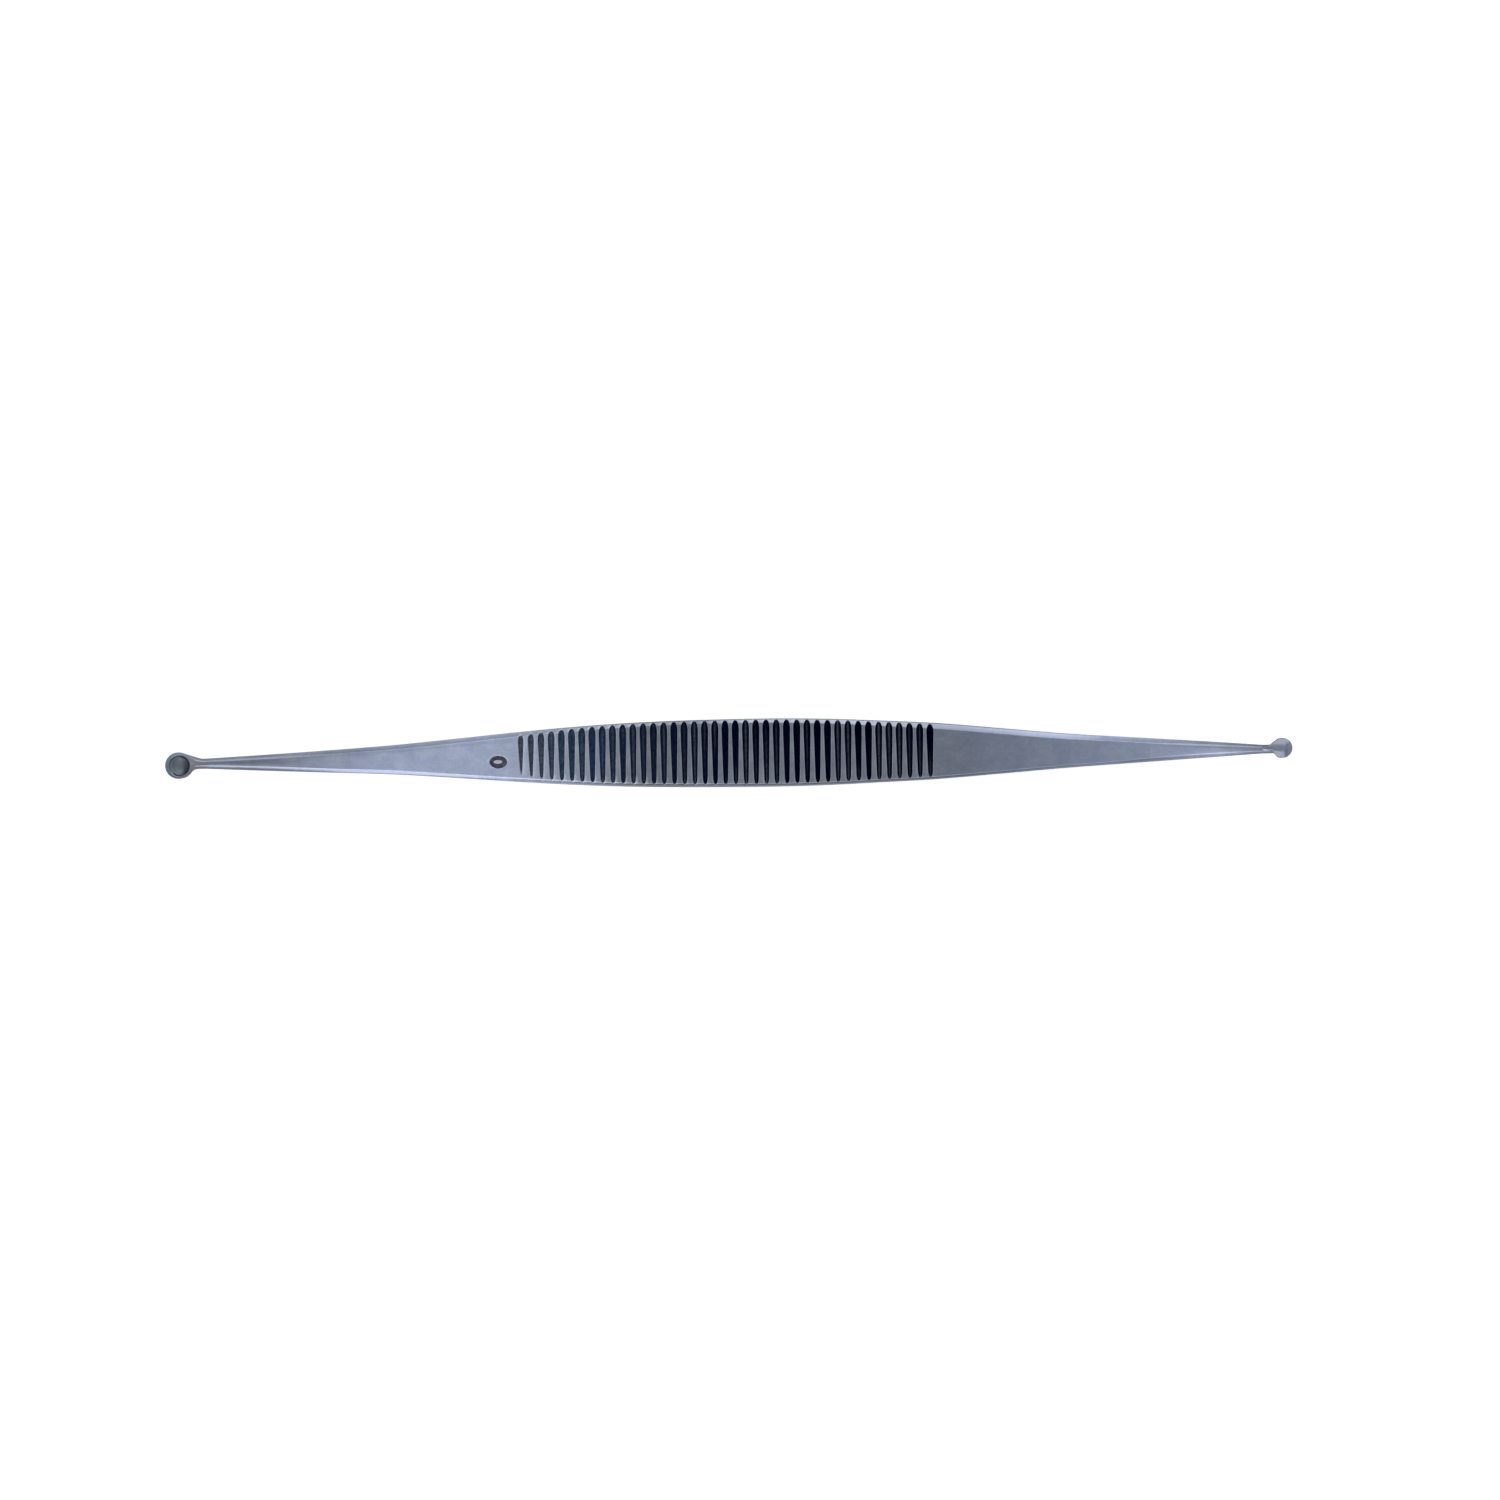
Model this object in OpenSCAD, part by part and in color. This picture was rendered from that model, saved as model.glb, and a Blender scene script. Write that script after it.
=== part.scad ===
// Double-ended spoon for modelling clay, ground from one stainless steel
// forging: a flat ribbed grip, two long tapering shanks and a small round cup
// at each end. The large cup opens upward and the small cup opens downward.
//
// Frame: X runs along the tool with the large cup at -X, Y is across the grip
// and +Z is up. Z = 0 is the flat underside that the tool rests on, X = 0 is
// midway between the two ends and Y = 0 is the middle of the overall width.
//
// Four plain cross planes divide the tool into its pieces: a neck plane at
// each cup and a root plane at each end of the grip. Neighbours share them.

/* [Overall] */
// Length over both cups
overall_len = 140; // [138:0.1:142]
// Thickness of the grip where its two faces are parallel
grip_t = 3.2; // [3:0.05:3.6]

/* [Grip outline] */
// Width of the grip at its large-cup end and at the next three eighths of its length
grip_w_a = [6.17, 7.12, 7.82, 8.22]; // [5.5:0.01:9]
// Width of the grip at its middle and at the next three eighths of its length
grip_w_b = [8.41, 8.45, 8.19, 7.63]; // [5.5:0.01:9]
// Width of the grip at its small-cup end
grip_w_end = 6.98; // [5.5:0.01:8]

/* [Ribs] */
// Grooves on each face
groove_n = 41; // [21:2:41]
// Distance from one groove to the next
groove_pitch = 1.27; // [1.2:0.01:1.3]
// Middle of the ribbed zone, measured from the middle of the tool
groove_mid = -0.44; // [-1:0.01:1]
// Radius of the groove at its broad end
groove_r_broad = 0.46; // [0.4:0.01:0.5]
// Radius of the groove at its narrow end
groove_r_narrow = 0.37; // [0.3:0.01:0.4]
// Gap between the broad end of a groove and the edge of the grip
groove_gap_broad = 0.18; // [0.15:0.01:0.4]
// Gap between the narrow end of a groove and the edge of the grip
groove_gap_narrow = 0.45; // [0.4:0.01:0.8]
// Length over which the narrow end runs out
groove_runout = 1.2; // [0.6:0.1:2]
// Height of the groove's centre line above the parallel faces
groove_lift = 0.05; // [0.02:0.01:0.1]
// Share of the face's drop that the grooves follow at the large-cup end
groove_follow = 0.28; // [0:0.01:0.5]
// Plain land beyond the middle of the first groove
land_large = 0.42; // [0.4:0.01:1]
// Plain land beyond the middle of the last groove
land_small = 0.68; // [0.55:0.01:1]
// How far each face has dropped at the large-cup end of the grip
face_drop = 0.33; // [0.1:0.01:0.36]
// Length over which the face drops
face_drop_len = 14; // [10:0.5:16]

/* [Bevels] */
// Bevel on the +Y edges: at the grip's large-cup end, mid-grip, small-cup end
bevel_high = [0.6, 0.5, 0.75]; // [0.3:0.01:0.9]
// Bevel on the -Y edges: at the grip's large-cup end, mid-grip, small-cup end
bevel_low = [0.38, 0.36, 0.34]; // [0.3:0.01:0.9]

/* [Large shank] */
// Diameter of the neck behind the large cup
large_neck_d = 1.28; // [1.1:0.01:1.4]
// Widths of the large shank at each fifth of its length, from the neck
large_taper = [2.03, 2.8, 3.63, 4.86]; // [1.6:0.01:5.5]
// Sideways offset of the large shank's middle line at the neck and each fifth
large_bow = [-0.26, -0.26, -0.22, -0.14]; // [-0.5:0.01:0.5]
// Length of the oval punch mark
mark_len = 2.2; // [1.6:0.1:2.4]
// Width of the oval punch mark
mark_w = 1.68; // [1.2:0.01:1.8]
// Length and width of the raised island in the punch mark
mark_island = [0.95, 0.4]; // [0.3:0.01:1]
// Depth of the punch mark
mark_depth = 0.22; // [0.1:0.01:0.3]
// Distance from the end of the grip to the middle of the mark
mark_back = 2.3; // [2:0.1:4]

/* [Small shank] */
// Diameter of the neck behind the small cup
small_neck_d = 1.1; // [1:0.01:1.3]
// Widths of the small shank at each fifth of its length, from the neck
small_taper = [2.2, 3.23, 4.28, 5.65]; // [1.6:0.01:6]
// Sideways offset of the small shank's middle line at the neck and each fifth
small_bow = [-0.55, -0.47, -0.41, -0.35]; // [-0.7:0.01:0.5]

/* [Large cup] */
// Outer diameter of the large cup
large_cup_d = 3.3; // [3.1:0.01:3.5]
// Diameter of the large cup's hollow
large_hollow_d = 2.58; // [2.2:0.01:2.6]
// Distance from the tip of the large cup back to the neck plane
large_cup_len = 5.07; // [4.9:0.01:5.4]
// Height of the large cup's centre above the middle of the thickness
large_cup_lift = 0.25; // [0.15:0.01:0.3]

/* [Small cup] */
// Outer diameter of the small cup
small_cup_d = 2.48; // [2.3:0.01:2.7]
// Diameter of the small cup's hollow
small_hollow_d = 1.9; // [1.6:0.01:1.95]
// Distance from the tip of the small cup back to the neck plane
small_cup_len = 3.79; // [3.7:0.01:4.2]
// Depth of the small cup's centre below the middle of the thickness
small_cup_drop = 0.18; // [0.1:0.01:0.25]
// Height of the small cup's rounded back as a share of its radius
small_cup_back = 0.63; // [0.62:0.01:0.8]
// Distance from the small cup's centre down to the centre of its hollow
small_hollow_drop = 0.45; // [0.4:0.01:0.5]
// Sideways position of both cups' centres
cup_y = -0.44; // [-0.6:0.01:-0.3]

/* [Hidden] */

steel = [0.60, 0.63, 0.70];
steel_dark = [0.50, 0.53, 0.60];
steel_cup = [0.45, 0.52, 0.58];

half_len = overall_len / 2;
half_grip_t = grip_t / 2;
mid_z = half_grip_t;                   // middle of the thickness
large_neck_r = large_neck_d / 2;
small_neck_r = small_neck_d / 2;
first_groove_x = groove_mid - (groove_n - 1) / 2 * groove_pitch;
last_groove_x = first_groove_x + (groove_n - 1) * groove_pitch;

// the four dividing planes
large_neck_x = -half_len + large_cup_len;
large_root_x = first_groove_x - land_large;
small_root_x = last_groove_x + land_small;
small_neck_x = half_len - small_cup_len;

// ---- interpolation -------------------------------------------------------

function along(from, to, share) = from + (to - from) * share;
function share_of(x, from, to) = (x - from) / (to - from);
function ease(t) = t <= 0 ? 0 : t >= 1 ? 1 : t * t * (3 - 2 * t);

// smooth curve through stations [position, value]
function span_index(stations, x, i = 0) =
    i >= len(stations) - 2 || x < stations[i + 1][0] ? i : span_index(stations, x, i + 1);
function span_len(stations, i) = stations[i + 1][0] - stations[i][0];
function rate(stations, i) =
    (stations[i + 1][1] - stations[i][1]) / span_len(stations, i);
// slope at station i: mean of the slopes on both sides, weighted by distance
function slope(stations, i) =
    i <= 0 ? rate(stations, 0)
    : i >= len(stations) - 1 ? rate(stations, len(stations) - 2)
    : let (before = span_len(stations, i - 1), after = span_len(stations, i))
      (rate(stations, i - 1) * after + rate(stations, i) * before) / (before + after);
function curve(stations, x) =
    let (i = span_index(stations, x),
         span = span_len(stations, i),
         t = (x - stations[i][0]) / span)
    stations[i][1] * (1 + 2 * t) * (1 - t) * (1 - t)
    + slope(stations, i) * span * t * (1 - t) * (1 - t)
    + stations[i + 1][1] * t * t * (3 - 2 * t)
    + slope(stations, i + 1) * span * t * t * (t - 1);

// ---- shape of the tool between the two necks -------------------------------

function grip_x(share) = along(large_root_x, small_root_x, share);
function large_shank_x(share) = along(large_neck_x, large_root_x, share);
function small_shank_x(share) = along(small_neck_x, small_root_x, share);

// [share of the grip's length from its large-cup end, offset of its middle line]
grip_bow = [[0, -0.05], [0.45, 0.01], [0.8, -0.05], [1, -0.14]];

grip_widths = concat(grip_w_a, grip_w_b, [grip_w_end]);
width_stations = concat(
    [[large_neck_x, large_neck_d]],
    [for (i = [0:3]) [large_shank_x((i + 1) / 5), large_taper[i]]],
    [for (i = [0:8]) [grip_x(i / 8), grip_widths[i]]],
    [for (i = [3:-1:0]) [small_shank_x((i + 1) / 5), small_taper[i]]],
    [[small_neck_x, small_neck_d]]);
bow_stations = concat(
    [for (i = [0:3]) [large_shank_x(i / 5), large_bow[i]]],
    [for (station = grip_bow) [grip_x(station[0]), station[1]]],
    [for (i = [3:-1:0]) [small_shank_x(i / 5), small_bow[i]]]);
function half_width(x) = curve(width_stations, x) / 2;
function mid_y(x) = curve(bow_stations, x);

// half thickness: parallel faces, a gentle drop at the large-cup end of the
// grip, then a taper along each shank to its round neck
function half_thickness(x) =
    x < large_root_x
    ? let (t = share_of(x, large_neck_x, large_root_x))
      along(large_neck_r, half_grip_t - face_drop, 0.92 * t + 0.08 * t * t * t)
    : x < large_root_x + face_drop_len
    ? let (t = 1 - (x - large_root_x) / face_drop_len)
      half_grip_t - face_drop * (0.3 * t * t + 0.7 * t * t * t * (2 - t))
    : x <= small_root_x ? half_grip_t
    : let (t = share_of(x, small_neck_x, small_root_x))
      along(small_neck_r, half_grip_t, 1.35 * t - 0.35 * t * t);

function within_grip(x) = min(max(x, large_root_x), small_root_x);
// bevel at x, from sizes at the grip's large-cup end, middle and small-cup end
function bevel(sizes, x) =
    curve([for (i = [0:2]) [grip_x(i / 2), sizes[i]]], within_grip(x));

// ---- grip: flat faces, cut from crossed slabs ------------------------------

grip_steps = 16;
drop_steps = 7;
slab_overrun = 1;                      // how far the cutting slabs pass the grip's ends
slab_height = 30;

grip_xs = [for (i = [0:grip_steps]) grip_x(i / grip_steps)];
bevel_xs = concat(
    [large_root_x - slab_overrun],
    [for (i = [1:grip_steps - 1]) grip_xs[i]],
    [small_root_x + slab_overrun]);
face_xs = concat(
    [large_root_x - slab_overrun],
    [for (i = [1:drop_steps]) large_root_x + face_drop_len * i / drop_steps],
    [small_root_x + slab_overrun]);

// Past the grip's ends the slabs run on straight, so that the end sections
// stay true.
function face_reach(x) =
    x < large_root_x
    ? along(half_thickness(large_root_x), half_thickness(face_xs[1]),
            share_of(x, large_root_x, face_xs[1]))
    : half_thickness(within_grip(x));

// distance of a bevel from the middle; side is 1 for +Y and -1 for -Y
function bevel_reach(x, side) =
    (half_width(x) + half_thickness(x) + side * mid_y(x)
     - bevel(side > 0 ? bevel_high : bevel_low, x)) * sqrt(0.5);
function run_on(x, side, end_x, inner_x) =
    along(bevel_reach(end_x, side), bevel_reach(inner_x, side), share_of(x, end_x, inner_x));
function long_bevel_reach(x, side) =
    x < large_root_x ? run_on(x, side, large_root_x, grip_xs[1])
    : x > small_root_x ? run_on(x, side, small_root_x, grip_xs[grip_steps - 1])
    : bevel_reach(x, side);

// slab turned about the mid-thickness line: at stations xs its sides lie at
// +high and -low in the direction that the angle turns +Y to
module slab(angle, xs, high, low) {
    translate([0, 0, mid_z]) rotate([angle, 0, 0])
        linear_extrude(height = slab_height, center = true)
            polygon(concat(
                [for (i = [0:len(xs) - 1]) [xs[i], high[i]]],
                [for (i = [len(xs) - 1:-1:0]) [xs[i], -low[i]]]));
}

module grip_blank() {
    faces = [for (x = face_xs) face_reach(x)];
    bevels_high = [for (x = bevel_xs) long_bevel_reach(x, 1)];
    bevels_low = [for (x = bevel_xs) long_bevel_reach(x, -1)];
    intersection() {
        slab(0, grip_xs, [for (x = grip_xs) half_width(x) + mid_y(x)],
                         [for (x = grip_xs) half_width(x) - mid_y(x)]);
        slab(90, face_xs, faces, faces);
        slab(45, bevel_xs, bevels_high, bevels_low);
        slab(-45, bevel_xs, bevels_high, bevels_low);
    }
}

groove_tip_r = 0.1;
groove_ball_step = 0.002;              // the body ends this much slimmer than its ball

// one groove lying along +Y: a slender run-out, a widening body and a round end
module groove_cutter(length) {
    ball_y = length - groove_r_broad;
    rotate([-90, 0, 0])
        cylinder(r1 = groove_tip_r, r2 = groove_r_narrow, h = groove_runout, $fn = 32);
    translate([0, groove_runout, 0]) rotate([-90, 0, 0])
        cylinder(r1 = groove_r_narrow, r2 = groove_r_broad - groove_ball_step,
                 h = ball_y - groove_runout, $fn = 32);
    translate([0, ball_y, 0]) sphere(r = groove_r_broad, $fn = 32);
}

// the row of grooves on the upper or the lower face
module groove_row(lower) {
    for (i = [0:groove_n - 1]) {
        x = first_groove_x + i * groove_pitch;
        narrow_y = mid_y(x) - half_width(x) + groove_gap_narrow;
        broad_y = mid_y(x) + half_width(x) - groove_gap_broad;
        rise = half_grip_t + groove_lift - groove_follow * (half_grip_t - half_thickness(x));
        translate([x, narrow_y, lower ? mid_z - rise : mid_z + rise])
            rotate([0, lower ? 180 : 0, 0]) groove_cutter(broad_y - narrow_y);
    }
}

module ribbed_grip() {
    color(steel_dark) difference() {
        grip_blank();
        groove_row(false);
        groove_row(true);
    }
}

// ---- lofts through rings ---------------------------------------------------

side_points = 4;                       // points on each of a ring's eight sides
ring_points = 8 * side_points;

// solid through rings ordered along +X, closed at both ends by flat fans
// about the ring's middle
function ring_middle(ring) = (ring[0] + ring[ring_points / 2]) / 2;
module loft(rings) {
    count = len(rings);
    first_middle = count * ring_points;
    last_ring = first_middle - ring_points;
    polyhedron(
        points = concat([for (ring = rings) for (point = ring) point],
                        [ring_middle(rings[0]), ring_middle(rings[count - 1])]),
        faces = [
            for (i = [0:ring_points - 1]) [first_middle, i, (i + 1) % ring_points],
            for (j = [0:count - 2]) for (i = [0:ring_points - 1]) for (half = [0, 1])
                let (here = j * ring_points + i,
                     next = j * ring_points + (i + 1) % ring_points)
                half == 0 ? [here, here + ring_points, next + ring_points]
                          : [here, next + ring_points, next],
            for (i = [0:ring_points - 1])
                [first_middle + 1, last_ring + (i + 1) % ring_points, last_ring + i]
        ],
        convexity = 4);
}

// ---- shanks: eight-sided at the grip, round at the neck ----------------------

shank_steps = 24;
bevel_limit = 0.55;                    // largest bevel, as a share of the lesser half size
mark_offset_y = -0.63;                 // middle of the mark from the shank's middle line

// corner k of the bevelled section with half width w and half thickness t
function corner(k, w, t, high, low) = [
    [w, -t + high], [w, t - high], [w - high, t], [-w + low, t],
    [-w, t - low], [-w, -t + low], [-w + low, -t], [w - high, -t]][k % 8];

// section of the shank at x, where round runs from 0 at the grip to 1 at the neck
function shank_ring(x, round) =
    let (w = half_width(x),
         t = half_thickness(x),
         limit = bevel_limit * min(w, t),
         high = min(bevel(bevel_high, x), limit),
         low = min(bevel(bevel_low, x), limit))
    [for (i = [0:ring_points - 1])
        let (k = floor(i / side_points),
             share = (i % side_points) / side_points,
             angle = 45 * (k + share) - 22.5,
             flat = along(corner(k, w, t, high, low), corner(k + 1, w, t, high, low), share),
             point = along(flat, [w * cos(angle), t * sin(angle)], round))
        [x, mid_y(x) + point[0], mid_z + point[1]]];

// rings from the neck to the grip, closer together near the neck; the section
// is fully eight-sided from halfway on
function shank_rings(neck_x, root_x) =
    [for (i = [0:shank_steps])
        let (t = i / shank_steps, share = 0.5 * t + 0.5 * t * t)
        shank_ring(along(neck_x, root_x, share), 1 - ease(share / 0.5))];

module ellipse(size) {
    polygon([for (angle = [0:10:350]) [size[0] / 2 * cos(angle), size[1] / 2 * sin(angle)]]);
}

module large_shank() {
    mark_x = large_root_x - mark_back;
    mark_floor_z = mid_z + half_thickness(mark_x) - mark_depth;
    color(steel) difference() {
        loft(shank_rings(large_neck_x, large_root_x));
        translate([mark_x, mid_y(mark_x) + mark_offset_y, mark_floor_z])
            linear_extrude(height = 1) difference() {
                ellipse([mark_len, mark_w]);
                ellipse(mark_island);
            }
    }
}

module small_shank() {
    rings = shank_rings(small_neck_x, small_root_x);
    color(steel) loft([for (i = [shank_steps:-1:0]) rings[i]]);
}

// ---- cups ------------------------------------------------------------------

// fillets between ball and neck: radius on the loft's own +Y side, on its -Y
// side, and above and below
large_fillets = [3, 1.1, 1.8];
small_fillets = [0.5, 0.8, 0.9];
// middle of each hollow from the centre of its ball
large_hollow_shift = [0.1, -0.04, 0];
small_hollow_shift = [-0.05, 0, -small_hollow_drop];
// each rim plane turns about a line this far from the cup's centre, toward the neck
large_rim_back = 2.55;
small_rim_back = 1.75;
rim_clearance = 0.005;                 // between that line and the neck's surface
rim_tilt = 3;                          // both rim planes rise toward +X
rim_block = [8, 8, 4];

// reach of ball and neck from the axis at distance d from the ball's centre,
// with the two joined by a hollow fillet
function reach(d, ball_r, neck_reach, fillet_r) =
    let (sum = ball_r + fillet_r,
         fillet_d = sqrt(sum * sum - (neck_reach + fillet_r) * (neck_reach + fillet_r)),
         tangent_d = fillet_d * ball_r / sum)
    d >= fillet_d ? neck_reach
    : d >= tangent_d
    ? neck_reach + fillet_r - sqrt(fillet_r * fillet_r - (fillet_d - d) * (fillet_d - d))
    : sqrt(max(ball_r * ball_r - d * d, 0));

// ball with its neck along +X: dy and dz place the neck's axis from the ball's
// centre, length runs from that centre to the neck plane and flat is the
// ball's height as a share of its width
module ball_and_neck(ball_r, neck_r, dy, dz, length, fillets, flat = 1) {
    ball_end = ball_r * cos(64);
    distances = concat(
        [for (angle = [172:-8:64]) ball_r * cos(angle)],
        [for (i = [1:12]) along(ball_end, length, i / 12)]);
    loft([for (d = distances)
        let (left = reach(d, ball_r, neck_r + dy, fillets[0]),
             right = reach(d, ball_r, neck_r - dy, fillets[1]),
             top = flat * reach(d, ball_r, (neck_r + dz) / flat, fillets[2]),
             bottom = flat * reach(d, ball_r, (neck_r - dz) / flat, fillets[2]))
        [for (i = [0:ring_points - 1])
            let (angle = 360 / ring_points * i - 22.5)
            [d, (left - right) / 2 + (left + right) / 2 * cos(angle),
                (top - bottom) / 2 + (top + bottom) / 2 * sin(angle)]]]);
}

// tilted block that trims a cup to its rim; corner is the block's lowest
// corner, measured from the line it turns about
module rim_cut(x, z, corner) {
    translate([x, 0, z]) rotate([0, -rim_tilt, 0])
        translate(corner) cube(rim_block);
}

module large_cup() {
    ball_r = large_cup_d / 2;
    centre = [-half_len + ball_r, cup_y, mid_z + large_cup_lift];
    color(steel_cup) difference() {
        translate(centre)
            ball_and_neck(ball_r, large_neck_r, dy = mid_y(large_neck_x) - cup_y,
                          dz = -large_cup_lift, length = large_neck_x - centre[0],
                          fillets = large_fillets);
        translate(centre + large_hollow_shift) sphere(d = large_hollow_d, $fn = 48);
        // everything above the rim
        rim_cut(centre[0] + large_rim_back, mid_z + large_neck_r + rim_clearance,
                [-rim_block[0], -rim_block[1] / 2, 0]);
    }
}

module small_cup() {
    ball_r = small_cup_d / 2;
    centre = [half_len - ball_r, cup_y, mid_z - small_cup_drop];
    color(steel_cup) difference() {
        translate(centre) rotate([0, 0, 180])
            ball_and_neck(ball_r, small_neck_r, dy = cup_y - mid_y(small_neck_x),
                          dz = small_cup_drop, length = centre[0] - small_neck_x,
                          fillets = small_fillets, flat = small_cup_back);
        translate(centre + small_hollow_shift) sphere(d = small_hollow_d, $fn = 48);
        // everything below the rim
        rim_cut(centre[0] - small_rim_back, mid_z - small_neck_r - rim_clearance,
                [0, -rim_block[1] / 2, -rim_block[2]]);
    }
}

ribbed_grip();
large_shank();
small_shank();
large_cup();
small_cup();
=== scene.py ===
"""A double-ended steel hand tool lying along X, its flat faces up and down.

A ribbed grip lies between two tapering shanks. The large cup, at the -X end, opens
upward; the small cup, at the +X end, opens downward. Sizes are in millimetres until
a mesh is made.
"""
import math
from collections import namedtuple
from functools import reduce
from itertools import combinations

import bmesh
import bpy
import numpy as np
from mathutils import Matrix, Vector


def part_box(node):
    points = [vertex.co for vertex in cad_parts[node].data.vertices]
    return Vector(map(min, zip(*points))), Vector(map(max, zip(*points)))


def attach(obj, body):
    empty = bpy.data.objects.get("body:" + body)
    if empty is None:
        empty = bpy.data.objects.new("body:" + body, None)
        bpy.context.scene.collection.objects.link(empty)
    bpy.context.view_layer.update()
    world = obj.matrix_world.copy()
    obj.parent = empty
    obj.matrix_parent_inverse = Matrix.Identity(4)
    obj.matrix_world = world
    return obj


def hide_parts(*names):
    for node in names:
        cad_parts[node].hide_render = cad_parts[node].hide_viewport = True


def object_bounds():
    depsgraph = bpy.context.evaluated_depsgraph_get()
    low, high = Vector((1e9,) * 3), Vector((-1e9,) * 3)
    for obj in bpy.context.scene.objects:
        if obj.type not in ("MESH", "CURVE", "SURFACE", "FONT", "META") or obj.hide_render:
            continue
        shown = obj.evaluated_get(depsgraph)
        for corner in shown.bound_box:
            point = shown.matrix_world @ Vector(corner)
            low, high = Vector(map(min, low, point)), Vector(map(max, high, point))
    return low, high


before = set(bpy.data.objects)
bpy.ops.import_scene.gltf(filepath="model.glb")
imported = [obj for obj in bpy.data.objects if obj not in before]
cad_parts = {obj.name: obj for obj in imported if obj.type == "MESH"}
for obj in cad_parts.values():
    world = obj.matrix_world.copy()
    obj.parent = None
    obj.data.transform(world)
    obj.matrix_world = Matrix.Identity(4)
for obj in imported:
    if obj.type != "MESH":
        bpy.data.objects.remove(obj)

cad_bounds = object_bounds()
MM = 0.001


def box_mm(node):
    low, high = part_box(node)
    return np.array(low) / MM, np.array(high) / MM


# ------------------------------------------------------------- driving sizes
grip_low, grip_high = box_mm("ribbed_grip")
GRIP_START, GRIP_END = grip_low[0], grip_high[0]
LARGE_NECK_X = box_mm("large_shank")[0][0]
SMALL_NECK_X = box_mm("small_shank")[1][0]
LARGE_TIP_X = box_mm("large_cup")[0][0]
SMALL_TIP_X = box_mm("small_cup")[1][0]
MID_Z = (grip_low[2] + grip_high[2]) / 2
GRIP_HALF_THICK = (grip_high[2] - grip_low[2]) / 2
GRIP_LENGTH = GRIP_END - GRIP_START
GRIP_MIDDLE = GRIP_START + GRIP_LENGTH / 2
LARGE_SHANK = GRIP_START - LARGE_NECK_X
SMALL_SHANK = SMALL_NECK_X - GRIP_END
LARGE_NECK_RADIUS, SMALL_NECK_RADIUS = 1.28 / 2, 1.10 / 2

# The flat faces sink toward the large end, over the first part of the grip
FACE_DROP, DROP_LENGTH = 0.33, 14.0
ROOT_HALF_THICK = GRIP_HALF_THICK - FACE_DROP

# Grooves across the grip: broad at the +Y end, narrow at the -Y end
PITCH, GROOVES = 1.268, 41
FIRST_GROOVE = GRIP_START + 0.48
LAST_GROOVE = FIRST_GROOVE + (GROOVES - 1) * PITCH
AXIS_LIFT = 0.05                  # cutter's axis above the flat face
BROAD_RADIUS, NARROW_RADIUS = 0.46, 0.31
BROAD_GAP, NARROW_GAP = 0.06, 0.27    # from the groove's ends to the sides
RUNOUT, HEAD = 0.75, 1.25         # rounded lengths at the narrow and broad ends
FOLLOW = 0.28                     # share of the face drop that the grooves follow

# The cups' rims climb gently toward their necks
RIM_SLOPE = math.tan(math.radians(3))
CUP_Y = -0.44


def stations(start, length, parts, values):
    """(x, value) pairs at equal parts of a length."""
    return [(start + length * i / parts, value) for i, value in enumerate(values)]


# (x, full width)
WIDTH = (stations(LARGE_NECK_X, LARGE_SHANK, 5, [2 * LARGE_NECK_RADIUS, 2.03, 2.8, 3.63, 4.86])
         + stations(GRIP_START, GRIP_LENGTH, 8,
                    [6.17, 7.12, 7.82, 8.22, 8.41, 8.45, 8.19, 7.63, 6.98])
         + stations(SMALL_NECK_X, -SMALL_SHANK, 5,
                    [2 * SMALL_NECK_RADIUS, 2.2, 3.23, 4.28, 5.65])[::-1])
# (x, y of the middle)
BOW = (stations(LARGE_NECK_X, LARGE_SHANK, 5, [-0.26, -0.26, -0.22, -0.14])
       + [(GRIP_START, -0.05), (GRIP_START + GRIP_LENGTH * 0.45, 0.01),
          (GRIP_START + GRIP_LENGTH * 0.8, -0.05), (GRIP_END, -0.14)]
       + stations(SMALL_NECK_X, -SMALL_SHANK, 5, [-0.55, -0.47, -0.41, -0.35])[::-1])
# (x, width in Y of the bevels on the +Y and -Y sides of the flat faces)
PLUS_BEVEL = stations(GRIP_START, GRIP_LENGTH, 2, [0.6, 0.5, 0.75])
MINUS_BEVEL = stations(GRIP_START, GRIP_LENGTH, 2, [0.52, 0.42, 0.34])
# (x, bevel depth over its width): 1 is 45 degrees, less is flatter
PLUS_DEPTH = [(LARGE_NECK_X, 0.9), (GRIP_START - 6, 0.95), (GRIP_START + 8, 0.7),
              (GRIP_MIDDLE, 0.56), (GRIP_END, 0.52), (GRIP_END + 14, 0.55),
              (GRIP_END + 27, 1.0), (SMALL_NECK_X, 1.0)]
MINUS_DEPTH = [(LARGE_NECK_X, 0.68), (GRIP_START, 0.68), (GRIP_START + 8, 0.92),
               (GRIP_MIDDLE, 1.15), (GRIP_END, 1.2), (SMALL_NECK_X, 1.2)]


def curve(table, x):
    """Smooth (Hermite) curve through (x, value) stations."""
    station, value = np.asarray(table, float).T
    gap = np.diff(station)
    rate = np.diff(value) / gap
    slope = np.empty(len(station))
    slope[0], slope[-1] = rate[0], rate[-1]
    slope[1:-1] = (rate[:-1] * gap[1:] + rate[1:] * gap[:-1]) / (gap[1:] + gap[:-1])
    x = np.asarray(x, float)
    i = np.clip(np.searchsorted(station, x, side="right") - 1, 0, len(station) - 2)
    t = (x - station[i]) / gap[i]
    return (value[i] * (1 + 2 * t) * (1 - t) ** 2 + slope[i] * gap[i] * t * (1 - t) ** 2
            + value[i + 1] * t * t * (3 - 2 * t) + slope[i + 1] * gap[i] * t * t * (t - 1))


def look_up(x, table):
    """Straight lines between the rows of an (x, value) table."""
    return np.interp(x, *zip(*table))


def ease(t):
    t = np.clip(t, 0, 1)
    return t * t * (3 - 2 * t)


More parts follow.
